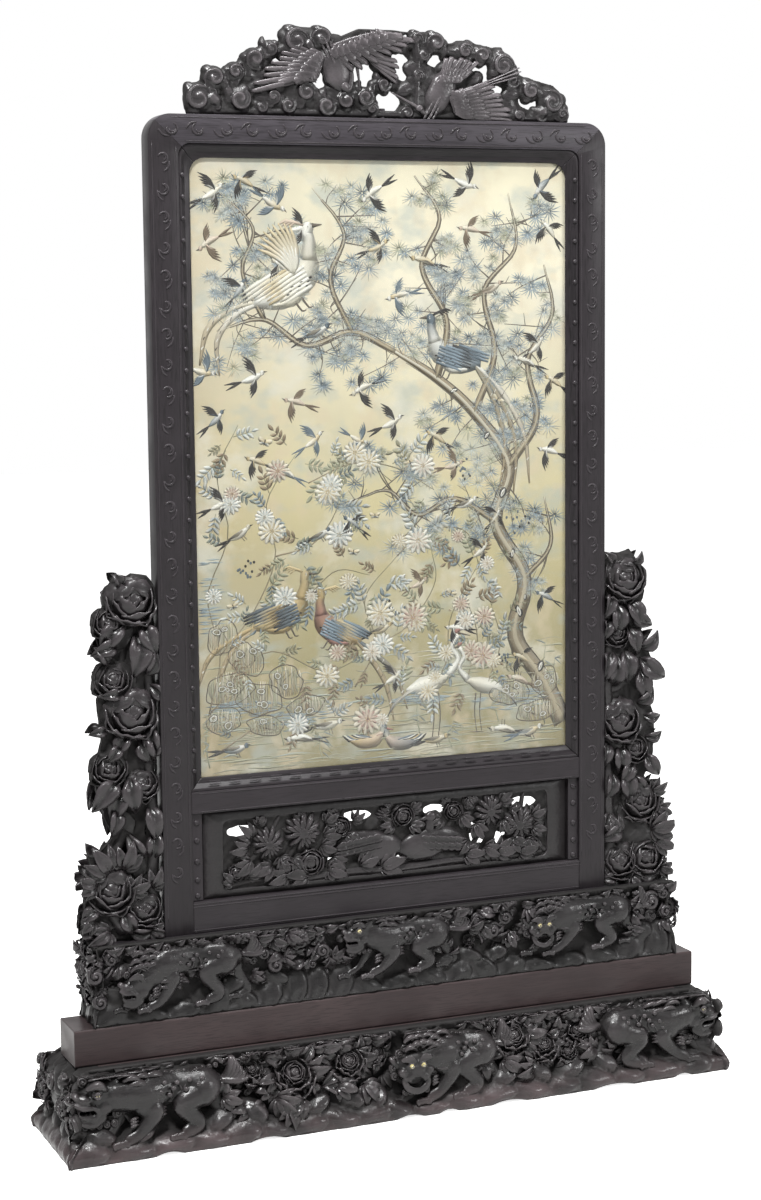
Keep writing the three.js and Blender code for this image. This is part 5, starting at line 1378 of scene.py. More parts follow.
cranes += crane((104, 1724, 92, 0.5), [(86, 1700), (76, 1690), (68, 1694), (64, 1698), (12, 1724)], [
    ((98, 1738), (128, 1746), (0.3, 1.05), (46, 56), 7, 12.0),
    ((120, 1722), (130, 1690), (1.26, 1.72), (76, 114), 9, 12.0),
])
cranes += fan((180, 1742), (184, 1736), (1.18, 1.36), (74, 66), 3, 4.0, -9.0, 1)
core = worn("crest_carving", 2.5, 4, 0.6, 4.0)
# low mounds fill the wood between the clouds, wherever it is solid
GRID = 5
solid = {(round(x / GRID), round(z / GRID)) for x, _, z in core.points}
dice = random.Random(31)
for x in np.arange(-336, 342, 25.0):
    for z in np.arange(1690, 1826, 19.0):
        px, pz = x + dice.uniform(-6, 6), z + dice.uniform(-5, 5)
        r = dice.uniform(13, 19)
        near = [(px + r * 0.6 * a, pz + r * 0.6 * b) for a, b in ((0, 0), (1, 0), (-1, 0), (0, 1), (0, -1))]
        if all((round(a / GRID), round(b / GRID)) in solid for a, b in near):
            crest.append(ball((px, 0, pz), (r * 1.25, 6.5 + 0.15 * r + dice.uniform(-1, 1), r * 0.85),
                              (0, dice.uniform(-1, 1), 0), sides=14, rings=8))
low, high = span("crest_carving")
crest = fused([kept_in(f, low + 0.1, high - 0.1, 3.0) for f in crest] + [core], 1.6, 1)
crest = joined([crest] + [kept_in(f, low + 0.1, high - 0.1, 3.0) for f in cranes])
out = np.abs(crest.points[:, 1])
# the relief share is raised by 0.3, which keeps painted shade off the crest and adds painted highlight
piece("crest_openwork", crest, "screen", WOOD_CREST_LIT, ("crest_carving",),
      relief_of(crest.points, out, 0.3 + out / high[1], full=6.0))


# The apron: a sunk panel pierced by flowers, ducks and water leaves

def outline(x0, x1, z0, z1, r, count=48):
    """A rectangle with round corners"""
    t = np.arange(count) / count * TAU
    corner = np.stack([np.cos(t), np.sin(t)], 1)
    quarter = np.floor(np.arange(count) / (count / 4)).astype(int)
    sx = np.where((quarter == 0) | (quarter == 3), 1, -1) * ((x1 - x0) / 2 - r)
    sz = np.where(quarter < 2, 1, -1) * ((z1 - z0) / 2 - r)
    return np.array([(x0 + x1) / 2, (z0 + z1) / 2]) + np.stack([sx, sz], 1) + r * corner


def ring(outer, inner, y0, y1, bead):
    """A board with a round-cornered opening, built as one loop of quads"""
    a, b, (x0, x1, z0, z1, r) = outline(*outer), outline(*inner), inner
    lip = outline(x0 - 4, x1 + 4, z0 - 4, z1 + 4, r + 4)
    loops = ((a, y0), (lip, y0), ((lip + b) / 2, y0 - bead), (b, y0 - bead * 0.5), (b, y1), (a, y1))
    count, faces = len(a), []
    for k in range(len(loops)):
        n = (k + 1) % len(loops)
        for i in range(count):
            j = (i + 1) % count
            faces.append([k * count + i, n * count + i, n * count + j, k * count + j])
    return Form(np.vstack([np.insert(line, 1, y, 1) for line, y in loops]), np.array(faces)[:, ::-1])


low, high = span("apron_panel")
WINDOW = (-303, 303, 403, 522, 12)
board = ring((low[0] + 0.1, high[0] - 0.1, low[2] + 0.1, high[2] - 0.1, 0.5), WINDOW, -6.5, 6.8, 0.2)
motifs = []
for x, z, size, kind in (
    (-222, 474, 33, "d"), (-160, 488, 38, "d"), (-148, 436, 24, "p"), (-190, 430, 20, "p"),
    (190, 492, 33, "d"), (246, 464, 37, "d"), (-92, 492, 18, "p"), (120, 500, 17, "p"),
    (24, 500, 20, "p"), (-10, 504, 15, "d"), (-280, 430, 16, "p"), (270, 430, 15, "p"),
):
    form = DAISY if kind == "d" else PEONIES[int(abs(x)) % 3]
    motifs.append(form.spun((0, x * 0.3, 0), size).put((x, -4, z), (0.1, 0, 0)))
for x, z, length, angle in (
    (-250, 486, 34, -0.8), (-256, 470, 36, -1.6), (-252, 448, 38, -2.2), (-240, 508, 22, 0.4),
    (-200, 452, 30, 2.9), (-214, 436, 36, -2.0), (-178, 448, 30, 2.6), (-186, 420, 40, -1.9),
    (-150, 414, 44, -1.5), (-128, 462, 32, 1.9), (-120, 500, 30, 1.0), (-124, 478, 34, 1.6),
    (-110, 440, 36, 2.3), (-118, 420, 40, 1.9), (-84, 476, 28, 2.4), (-70, 500, 26, 1.1),
    (-100, 512, 20, -0.9), (-160, 515, 16, -1.3), (8, 486, 28, -1.6), (36, 484, 30, 1.7),
    (4, 514, 18, -1.0), (40, 508, 24, 1.0), (100, 488, 28, -1.9), (134, 490, 30, 2.4),
    (140, 508, 20, 1.2), (110, 512, 18, -0.8), (160, 474, 34, 2.6), (164, 506, 24, -0.8),
    (210, 506, 30, 0.9), (216, 476, 28, 2.8), (228, 440, 38, 2.0), (262, 436, 30, 2.4),
    (270, 476, 32, 1.2), (272, 456, 30, 1.8), (226, 492, 24, 1.4), (178, 430, 36, 2.1),
    (200, 420, 44, 1.5), (244, 414, 40, 1.4), (140, 420, 40, 1.6), (150, 444, 30, -2.4),
    (-284, 414, 30, -0.9), (-262, 420, 34, 0.8), (285, 412, 26, -0.6), (-58, 420, 40, 1.2),
    (-20, 412, 50, 1.3),
):
    motifs.append(leaf((x, -5, z), length, angle, 0.2, 0.25 * math.sin(x * 1.7)))
for line, radii in (
    ([(-303, 1, 408), (-240, 1, 414), (-170, 0, 408), (-80, 0, 412), (20, 0, 408), (120, 0, 412),
      (220, 0, 408), (303, 1, 412)], [7, 6, 8, 8, 9, 8, 7, 6]),
    ([(-300, 1, 404), (-262, 0, 440), (-226, 0, 474), (-200, 0, 522)], [5, 5, 5, 4]),
    ([(-222, 0, 405), (-190, 0, 440), (-160, 0, 488), (-150, 0, 522)], [5, 5, 5, 4]),
    ([(-150, 0, 408), (-118, 0, 450), (-92, 0, 492), (-84, 0, 522)], [5, 5, 4, 4]),
    ([(-60, 0, 420), (-20, 0, 470), (24, 0, 500), (30, 0, 522)], [5, 5, 4, 4]),
    ([(60, 0, 420), (110, 0, 470), (122, 0, 500), (120, 0, 522)], [5, 5, 4, 4]),
    ([(140, 0, 406), (166, 0, 446), (190, 0, 490), (186, 0, 522)], [5, 5, 5, 4]),
    ([(200, 0, 406), (226, 0, 436), (246, 0, 464), (258, 0, 522)], [5, 5, 5, 4]),
    ([(303, 0, 410), (276, 0, 430), (250, 0, 462)], [5, 5, 5]),
):
    motifs.append(tube(line, radii, sides=8, steps=30))
# two ducks: middle of the body, head, and the side that the tail is on
for bx, bz, hx, hz, d in ((72, 446, 76, 494, 1), (-32, 452, -66, 472, -1)):
    body = ((-58, -2, -10), (-30, -4, -4), (0, -5, 0), (34, -4, 8), (62, -2, -2), (84, 0, -10))
    motifs.append(tube([(bx + d * x, y, bz + z) for x, y, z in body], [12, 25, 28, 21, 13, 3], sides=16,
                       steps=30, flat=0.42))
    neck = [(bx + (hx - bx) * 0.2, -5, bz + 10), ((bx + hx) / 2, -6, (bz + hz) / 2), (hx, -7, hz)]
    beak = [(hx - d * 4, -8, hz), (hx - d * 14, -8, hz - 3), (hx - d * 22, -7, hz - 5)]
    motifs += [tube(neck, [14, 9, 9], sides=12, flat=0.7), ball((hx, -7, hz), (11, 7, 10)),
               tube(beak, [5, 3.4, 1.6], flat=0.7)]
    for k in range(12):
        row, share = k // 6, (k % 6) / 5
        spot = (bx - d * 18 + d * 62 * share, -13 + 5 * abs(share - 0.4), bz + 14 - 10 * row - 8 * share)
        motifs.append(leaf(spot, 27 - 3 * row, d * (1.75 + 0.1 * row), 0.1, 0.2, LEAF))
motifs.append(worn("apron_panel", 2.5, 3, 0.35).moved(lambda p: np.clip(p, low + 0.6, high - 0.6)))
inner_low = np.array([WINDOW[0] - 3, low[1] + 0.1, WINDOW[2] - 3])
inner_high = np.array([WINDOW[1] + 3, high[1] - 0.3, WINDOW[3] + 3])
apron = joined([board] + [kept_in(f, inner_low, inner_high, 2.0) for f in motifs])
out = np.abs(apron.points[:, 1])
border = (np.abs(apron.points[:, 0]) > WINDOW[1] - 2) | (apron.points[:, 2] > WINDOW[3] - 2)
# the border takes a fixed low relief, which darkens it with the wood's painted shade
piece("apron_openwork", apron, "screen", WOOD_CARVED, ("apron_panel",),
      np.where(border, 0.30, relief_of(apron.points, out, out / 18, full=5.0)))

# The frame of the screen, its raised lines and beads

for node, material, bevel, smooth in (
    ("left_stile", WOOD_STILE, 0.0012, 35), ("right_stile", WOOD_STILE, 0.0012, 35),
    ("top_rail", WOOD_TOP_LIT, 0.0012, 35),
    ("moulding_top", WOOD_RAIL, 0.0009, 50), ("moulding_bottom", WOOD_RAIL, 0.0009, 50),
    ("moulding_left", WOOD_STILE, 0.0009, 50), ("moulding_right", WOOD_STILE, 0.0009, 50),
):
    redone(node, material, bevel, smooth)
for material, bevel, names in (
    (WOOD_RAIL, 0.0014, ("middle_rail", "bottom_rail")),
    (WOOD_STILE, 0.0012, ("apron_muntin_left", "apron_muntin_right")),
    (WOOD_WAIST, 0.0016, ("waist_beam",)),
    (WOOD_WAIST, 0.001, ("base_top_board",)),
    (WOOD_RAIL, 0.001, ("plinth_core_beam",)),
    (WOOD_BACK, 0.001, [f"base_{corner}_glue_block" for corner in ("front_left", "front_right", "back_left",
                                                                   "back_right")]),
    (WOOD_BACK, 0.0005, ("silk_mount_board",)),
    (WOOD_BACK, 0.0008, ["back_panel"] + [f"back_strip_{end}" for end in ("top", "bottom", "left",
                                                                          "right")]),
    (WOOD_RAIL, 0.0008, [f"crest_dowel_{end}" for end in ("left", "middle", "right")]),
    (PANE, 0.0, ("glass_pane",)),
    (EYE, 0.0, [name for name in nodes if "_eye_" in name]),
):
    for name in names:
        dressed(name, material, bevel)
pupils = []
for low, high in (span(name) for name in nodes if "_eye_" in name):
    middle, radius = (low + high) / 2, (high[0] - low[0]) / 2
    pupils.append(ball(middle - (0, radius * 0.76, 0), (radius * 0.34,) * 3, sides=12, rings=8))
piece("eye_pupils", pupils, "stand", PUPIL)

FACE = -18.0


def raised(points, width, sides=6, steps=60):
    """A thin line that stands out of the frame's face"""
    return tube([(x, FACE + 0.1 * width, z) for x, z in points], [width * 0.6, width, width, width * 0.6],
                sides=sides, steps=steps, flat=0.8)


def scroll(x, z, angle, r, flip):
    """One C-scroll of the vine: a hook that curls in on itself, and its stalk"""
    c, n, way = math.cos(angle), math.sin(angle), 1 if flip else -1
    made = []
    for turns, start, reach, shift, width in ((0.78, 0.3, 1.0, 0, 2.4), (0.5, 0.5, 0.55, 2, 1.9)):
        points = []
        for t in np.arange(10) / 9:
            a, radius = TAU * (start + turns * t), r * reach * (1 - 0.42 * t)
            px, pz = shift - way * radius * math.cos(a), radius * math.sin(a) * 0.9
            points.append((x + px * c - pz * n, z + px * n + pz * c))
        made.append(raised(points, width, 6, 16))
    stalk = [(x - r * (a * c - b * n * way), z - r * (a * n + b * c * way))
             for a, b in ((1.9, 0), (1.2, 0.8), (0.2, 1.0))]
    return made + [raised(stalk, 2.0, 6, 10)]


lines = []
for k, x in enumerate(np.arange(-372, 373, 46.5)):
    lines += scroll(x, 1656, 0.0, 11.5, k % 2 == 0)
for sign in (-1, 1):
    for k, z in enumerate(np.arange(1608, 400, -46.5)):
        lines += scroll(sign * 386, z, math.pi / 2, 10.5, k % 2 == 0)
for z, half, width in ((1674.5, 376, 1.3), (1637.5, 352, 1.3), (573.8, 352, 1.4), (543.0, 352, 1.4),
                       (387.4, 366, 1.4), (382.5, 366, 1.4), (342.5, 366, 1.4)):
    lines.append(raised([(x, z) for x in (-half, -half / 3, half / 3, half)], width))
for sign in (-1, 1):
    for x, z0, z1 in ((404.5, 356, 1640), (364.5, 396, 1632)):
        third = (z1 - z0) / 3
        lines.append(raised([(sign * x, z) for z in (z0, z0 + third, z1 - third, z1)], 1.2))
piece("frame_scroll_lines", lines, "screen", WOOD_LINE_LIT)

beads = []
bead = ball((0, 0, 0), (1, 1, 1), sides=10, rings=7)
for sign in (-1, 1):
    for z in np.arange(612, 1600, 34.7):
        beads.append(bead.moved(lambda p: p * (4.0, 3.0, 4.2) + (sign * 353.5, -14.6, z)))
    for z in (427, 458, 494, 524, 400):
        beads.append(bead.moved(lambda p: p * (5.2, 3.0, 5.4) + (sign * 350.7, -12.2, z)))
for x in np.arange(-318, 319, 36.0):
    for z in (587.9, 593.1):
        beads.append(tube([(x - 11, -14.7, z), (x, -15.2, z), (x + 11, -14.7, z)], [0.6, 0.9, 0.6],
                          sides=6, steps=8))
piece("moulding_beads", beads, "screen", WOOD_LINE_LIT)

# The silk

low, high = span("silk_picture")


def silk_rule(u, v):
    x, z = low[0] + u * (high[0] - low[0]), low[2] + v * (high[2] - low[2])
    sag = 0.10 * np.sin(x * 0.021 + 1) * np.sin(z * 0.013)
    return np.stack([x, -1.72 + sag, z], 1)


silk = piece("silk_cloth", woven(90, 130, silk_rule, thick=0.2), "screen", SILK,
             ("silk_picture",))

# The embroidery: flat shapes of satin stitch in a free layout of birds, an old tree, roses, rocks and water

INK = {name: np.array(hexed(code)[:3]) for name, code in {
    "cream": "f0ead8", "white": "fcfaf2", "ochre": "ceb788", "gold": "dfcca2", "tan": "bfae8f",
    "rose": "b98c82",
    "blush": "e0cdbb", "slate": "77858f", "blue": "9aabb8", "haze": "bcc7c8", "sage": "aeb298",
    "olive": "918d70",
    "bark": "aa9c84", "edge": "726a5e", "dark": "3d3a37", "brown": "82725f", "grey": "b0a997",
    "moss": "bfbda4",
    "wood": "c6b99c",
}.items()}


def normal(path):
    """Unit vectors square to a path"""
    along = direction(path)
    return np.stack([along[:, 1], -along[:, 0]], 1)


def on_line(line, t):
    return route_through(line, np.array([t]))[0]


class Needlework:
    """Every stitch is a low ridge along a line: (x, z) points, half widths, a colour at each end"""

    def __init__(self, seed):
        self.points, self.faces, self.colours, self.uvs, self.count = [], [], [], [], 0
        self.dice = random.Random(seed)

    def stitch(self, line, widths, colour, tip=None, layer=0, steps=None, shade=0.05):
        steps = steps or max(3, len(widths))
        t = np.linspace(0, 1, steps)
        if len(line) > 2:
            path = route_through(line, t)
        else:
            path = np.array(line[0]) + t[:, None] * (np.array(line[1]) - line[0])
        half = spread(widths, t)
        side = normal(path) * half[:, None]
        base = np.full(steps, -1.80 - 0.045 * layer)
        top = -2.02 - 0.045 * layer - 0.05 * np.minimum(half, 4) / 4
        rows = [np.insert(path + shift * side, 1, level, 1)
                for shift, level in ((-1, base), (0, top), (1, base))]
        faces = []
        for a in range(0, 3 * (steps - 1), 3):
            b = a + 3
            faces += [(a, b, b + 1, a + 1), (a + 1, b + 1, b + 2, a + 2), (a + 2, b + 2, b, a)]
        last = 3 * steps - 3
        faces += [(0, 1, 2, 2), (last, last + 2, last + 1, last + 1)]
        a, b = INK[colour], INK[tip or colour]
        mixed = (a + (b - a) * t[:, None]) * (1 + self.dice.uniform(-shade, shade))
        run, shift = distance_along(path), self.dice.uniform(0, 50)
        uv = np.stack([np.stack([half * k + shift, run], 1) for k in (-1, 0, 1)], 1).reshape(-1, 2)
        self.points.append(np.stack(rows, 1).reshape(-1, 3))
        self.faces.append(np.array(faces) + self.count)
        self.colours.append(np.repeat(mixed, 3, axis=0))
        self.uvs.append(uv)
        self.count += 3 * steps

    def oval(self, x, z, a, b, angle, colour, tip=None, layer=0):
        """A rounded patch of half length a and half width b"""
        dx, dz = math.sin(angle) * a, math.cos(angle) * a
        widths = [b * math.sqrt(max(0.0, 1 - q * q)) for q in np.linspace(-1, 1, 9)]
        self.stitch([(x - dx, z - dz), (x + dx, z + dz)], widths, colour, tip, layer, 9)

    def pieces(self, names, top=2.72):
        """The stitches, in the order they were sewn, shared out over the named pieces"""
        ends = np.concatenate([[0], np.cumsum([len(p) for p in self.points])])
        shares = [self.count * k / len(names) for k in range(len(names))]
        cuts = [int(np.searchsorted(ends, share)) for share in shares] + [len(ends) - 1]
        made = []
        for name, first, last in zip(names, cuts, cuts[1:]):
            points = np.vstack(self.points[first:last])
            points[:, 1] = np.maximum(points[:, 1], -top)
            thing = to_object(name, Form(points, np.vstack(self.faces[first:last]) - ends[first]))
            mesh = thing.data
            floss = mesh.color_attributes.new("floss", "FLOAT_COLOR", "POINT")
            colour = np.hstack([np.vstack(self.colours[first:last]), np.ones((len(points), 1))])
            floss.data.foreach_set("color", colour.astype(np.float32).ravel())
            corners = np.empty(len(mesh.loops), int)
            mesh.loops.foreach_get("vertex_index", corners)
            uv = mesh.uv_layers.new(name="stitch")
            uv.data.foreach_set("uv", np.vstack(self.uvs[first:last])[corners].astype(np.float32).ravel())
            mesh.materials.append(FLOSS)
            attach(thing, "screen")
            made.append(thing)
        return made


w = Needlework(41)
dice = w.dice


class Figure:
    """A bird's own directions, (forward, up) in its sizes, with the needle that sews it"""

    def __init__(self, x, z, size, angle, flip=False):
        self.x, self.z, self.size, self.angle, self.way = x, z, size, angle, -1 if flip else 1

    def at(self, *points):
        c, n, s = math.cos(self.angle), math.sin(self.angle), self.size
        return [(self.x + f * s * c - u * s * self.way * n, self.z + f * s * n + u * s * self.way * c)
                for f, u in points]

    def sew(self, points, widths, colour, tip, layer, steps=None):
        w.stitch(self.at(*points), [q * self.size for q in widths], colour, tip, layer, steps)

    def spot(self, point, a, b, angle, colour, layer):
        w.oval(*self.at(point)[0], a * self.size, b * self.size, angle, colour, None, layer)


def feathers(x, z, angle, length, spread, count, width, colour, tip, layer, sweep):
    for k in range(count):
        share = k / (count - 1)
        a = angle + spread * (share - 0.5)
        half = length * (0.72 + 0.28 * math.sin(math.pi * (0.25 + 0.6 * share))) * 0.5
        mid = (x + math.cos(a) * half, z + math.sin(a) * half)
        end = (mid[0] + math.cos(a + sweep) * half, mid[1] + math.sin(a + sweep) * half)
        w.stitch([(x, z), mid, end], [width * 0.4, width, width * 0.9, width * 0.15], colour, tip, layer, 5)


def small_bird(x, z, size, angle, coat, wing, breast, flies):
    """A finch, swallow or magpie. angle is the way it heads, measured from the right, upwards."""
    bird, s = Figure(x, z, size, angle), size
    body = ((-0.42, 0), (0, -0.02), (0.34, 0.04))
    back = bird.at(body[0])[0]
    for k in (-1, 1):
        a = angle + math.pi + 0.16 * k
        w.stitch([back, (back[0] + math.cos(a) * 0.66 * s, back[1] + math.sin(a) * 0.66 * s)],
                 [0.03 * s, 0.055 * s, 0.012 * s], wing, wing, 1, 5)
    bird.sew(body, (0.04, 0.13, 0.14, 0.07), coat, breast, 3, 8)
    bird.spot((0.42, 0.07), 0.10, 0.09, angle, coat, 4)
    bird.sew(((0.49, 0.08), (0.62, 0.05)), (0.03, 0.005), "dark", None, 4)
    bird.spot((0.45, 0.09), 0.022, 0.022, 0, "dark", 6)
    up, down = bird.at((0.16, 0.05), (0.12, -0.05))
    if flies:
        for root, lean, length, bend, layer in ((up, 1.62, 0.92, 0.55, 5), (down, -1.9, 0.74, -0.5, 2)):
            for k in range(5):
                a = angle + lean + 0.10 * k * (1 if lean > 0 else -1)
                half = length * s * (1 - 0.13 * k) * 0.5
                mid = (root[0] + math.cos(a) * half, root[1] + math.sin(a) * half)
                end = (mid[0] + math.cos(a + bend) * half, mid[1] + math.sin(a + bend) * half)
                w.stitch([root, mid, end], [0.03 * s, 0.062 * s, 0.055 * s, 0.004 * s],
                         coat if k > 3 else wing, wing, layer, 6)
        return
    for k in range(5):
        a, long = angle + math.pi - 0.02 + 0.07 * k, s * (0.66 - 0.08 * k)
        w.stitch([up, (up[0] + math.cos(a) * long, up[1] + math.sin(a) * long)],
                 [0.05 * s, 0.06 * s, 0.008 * s], coat if k > 3 else "grey", wing, 5, 5)
    for k in (0.0, 0.1):
        bird.sew(((k, -0.12), (k + 0.04, -0.32)), (0.018, 0.014), "edge", None, 1)


def long_tail(x, z, size, angle, tail, coat, wing, breast, tails, crest, flip=False):
    """A pheasant or other large bird with a sweeping tail, which is a list of local lines"""
    bird = Figure(x, z, size, angle, flip)
    for k, line in enumerate(tail):
        line = ((-0.34, 0.0), *line)
        bird.sew(line, (0.03, 0.05, 0.045, 0.012), tails[k % len(tails)], "tan", 1, 14)
        for q in range(7):
            px, pz = on_line(bird.at(*line), 0.3 + 0.09 * q)
            w.oval(px, pz, 0.028 * size, 0.02 * size, 0.5, "dark" if q % 2 else "white", None, 2)
    bird.sew(((-0.44, 0.02), (-0.1, -0.02), (0.24, 0.06), (0.40, 0.24)), (0.06, 0.19, 0.18, 0.08), coat,
             breast, 3, 12)
    bird.sew(((-0.25, -0.10), (0.0, -0.15), (0.24, -0.04)), (0.02, 0.07, 0.03), breast, None, 4, 8)
    bird.sew(((0.34, 0.16), (0.44, 0.34), (0.46, 0.44)), (0.10, 0.07, 0.07), breast, coat, 4, 8)
    bird.spot((0.48, 0.47), 0.085, 0.075, angle, coat, 5)
    bird.sew(((0.55, 0.48), (0.66, 0.44)), (0.028, 0.004), "edge", None, 5)
    bird.spot((0.50, 0.49), 0.028, 0.026, 0, "white", 6)
    bird.spot((0.50, 0.49), 0.014, 0.014, 0, "dark", 7)
    for q in range(4):
        bird.sew(((0.46, 0.53), (0.38 - 0.03 * q, 0.60 + 0.02 * q), (0.28 - 0.03 * q, 0.56 + 0.03 * q)),
                 (0.014, 0.02, 0.004), crest, None, 6, 5)
    for row in range(4):
        for q in range(6 - row):
            u = 0.12 - 0.045 * q + 0.03 * row
            bird.sew(((0.26 - 0.10 * row, u), (0.02 - 0.12 * row, u - 0.02),
                      (-0.16 - 0.13 * row, u - 0.04)),
                     (0.02, 0.036, 0.012), wing[row % len(wing)], wing[(row + 1) % len(wing)], 7 - row, 5)
    for q in range(9):
        f, u = -0.02 + 0.04 * q, -0.02 + 0.03 * (q % 3)
        bird.sew(((f, u - 0.06), (f - 0.04, u - 0.05)), (0.006, 0.014, 0.004), "dark", None, 8, 3)
    for f in (0.0, 0.09):
        bird.sew(((f, -0.16), (f + 0.03, -0.30), (f + 0.08, -0.31)), (0.014, 0.011, 0.006), "edge", None,
                 2, 5)


def pompon(x, z, size):
    """A tuft of needles seen from its end: fine threads all round a darker middle"""
    tones = dice.choice((("blue", "haze"), ("blue", "cream"), ("haze", "cream"), ("slate", "haze"),
                         ("sage", "cream")))
    for k in range(15):
        a = TAU * (k + dice.uniform(-0.3, 0.3)) / 15
        r = size * dice.uniform(0.7, 1.0)
        c, n = r * math.cos(a), r * math.sin(a)
        w.stitch([(x + 0.08 * c, z + 0.08 * n), (x + c, z + 0.85 * n)], [0.6, 1.0, 0.2], *tones, k % 3, 3,
                 0.12)


def limb(line, wide):
    """A branch with a darker edge on each side and flecks of bark"""
    steps = 6 * len(line)
    w.stitch(line, wide, "bark", "bark", 1, steps)
    w.stitch(line, [q * 0.62 for q in wide], "wood", "cream", 2, steps)
    t = np.linspace(0, 1, steps)
    path = route_through(line, t)
    along, across, half = direction(path), normal(path), spread(wide, t)
    for sign in (-1, 1):
        edge = path + sign * across * half[:, None]
        w.stitch(edge[::3], [0.6, 1.15, 1.15, 0.5], "edge", "edge", 2, 5 * len(line))
    for k in range(steps):
        i = int(dice.uniform(0.03, 0.9) * (steps - 1))
        start = path[i] + across[i] * dice.uniform(-0.6, 0.6) * half[i]
        end = start + along[i] * dice.uniform(5, 12)
        w.stitch([start, end], [0.2, 0.6, 0.2], "tan" if k % 2 else "edge", None, 2, 3)


def sprig(x, z, size, angle, tones):
    """Leaves in pairs along a thin stalk, with one at its end"""
    c, n = math.cos(angle), math.sin(angle)
    w.stitch([(x, z), (x + size * c, z + size * n)], [0.6, 0.5, 0.3], "olive", None, 1, 3)
    for k in range(7):
        t = 0.2 + 0.25 * (k // 2)
        long, a = size * dice.uniform(0.36, 0.5), angle + (k < 6) * (-1) ** k * 0.9
        fx, fz, dx, dz = x + t * size * c, z + t * size * n, math.cos(a) * long, math.sin(a) * long
        w.stitch([(fx, fz), (fx + dx * 0.5 - dz * 0.06, fz + dz * 0.5 + dx * 0.06), (fx + dx, fz + dz)],
                 [0.3, long * 0.24, long * 0.20, 0.2], *tones, 2, 5, 0.1)


def blossom(x, z, size, tones, rings):
    """A full flower: rings of petals with a fine line down each, and a ring of stamens"""
    for row, (r, count) in enumerate(((1.0, 13), (0.66, 10), (0.36, 6))[-rings:]):
        start = dice.random()
        for k in range(count):
            a = TAU * (k + start) / count
            c, q = math.cos(a) * size * r, math.sin(a) * size * r * 0.85
            w.oval(x + c * 0.55, z + q * 0.55, size * 0.44 * r, size * 0.19 * r, math.pi / 2 - a,
                   tones[row % len(tones)], tones[(row + 1) % len(tones)], 3 + 2 * row)
            w.stitch([(x + c * 0.25, z + q * 0.25), (x + c * 0.85, z + q * 0.85)], [0.1, 0.35, 0.1], "tan",
                     None, 4 + 2 * row, 3)
    for k in range(5):
        a, r = TAU * k / 5, size * 0.12
        w.oval(x + math.cos(a) * r, z + math.sin(a) * r, size * 0.05, size * 0.05, 0, "ochre", None, 9)


# soft washes of ground and water at the foot, greyer at the left
for k in range(230):
    z, x = 604 + 190 * (k / 230) ** 1.5 + dice.uniform(-5, 5), dice.uniform(-334, 300)
    wide = dice.uniform(20, 90)
    tone = dice.choice(["moss", "sage", "haze", "grey"] if x < 0 else ["moss", "sage", "grey", "cream",
                                                                       "tan"])
    w.stitch([(x, z), (x + wide * 0.5, z + dice.uniform(-3, 5)),
              (min(x + wide, 336), z + dice.uniform(-3, 3))],
             [0.3, dice.uniform(0.8, 2.6), 0.3], tone, "moss", k % 2, 6, 0.05)
for x, z, rx, rz in ((-270, 706, 66, 16), (-170, 684, 60, 13), (240, 688, 90, 18), (-316, 900, 22, 70),
                     (60, 700, 50, 9)):
    for k in range(46):
        a, q = dice.uniform(0, TAU), math.sqrt(dice.random())
        px, pz = x + rx * q * math.cos(a), z + rz * q * math.sin(a)
        w.stitch([(max(px - 13, -336), pz), (min(px + 13, 336), pz + dice.uniform(-2, 2))], [0.2, 1.7, 0.2],
                 dice.choice(["slate", "blue", "haze"]), "haze", k % 2, 3)

# the old tree leans in from the right
trunk = [(336, 640), (296, 720), (242, 800), (262, 900), (206, 1000), (232, 1096), (166, 1190), (96, 1250),
         (20, 1296)]
limb(trunk, [18, 16, 15, 13, 12, 11, 9, 8, 6])
boughs = [
    ([(20, 1296), (-58, 1330), (-140, 1308), (-214, 1352), (-296, 1334)], [6, 5, 4, 3, 1.4]),
    ([(96, 1250), (116, 1346), (70, 1436), (104, 1520), (58, 1588)], [7, 5, 4, 3, 1.4]),
    ([(232, 1096), (286, 1176), (268, 1276), (316, 1356), (300, 1440)], [7, 5.5, 4, 3, 1.6]),
    ([(166, 1190), (206, 1290), (186, 1396), (246, 1470), (232, 1560)], [6, 4.5, 3.6, 2.6, 1.2]),
    ([(-58, 1330), (-96, 1416), (-70, 1492), (-126, 1566)], [4, 3.4, 2.6, 1.2]),
    ([(206, 1000), (128, 1044), (60, 1018), (6, 1062), (-50, 1050)], [5, 4, 3.2, 2.2, 1.1]),
    ([(262, 900), (312, 956), (300, 1040)], [4, 3, 1.4]),
    ([(-214, 1352), (-250, 1430), (-230, 1500), (-290, 1560)], [3.2, 2.6, 2, 1]),
]
for line, wide in boughs:
    limb(line, wide)
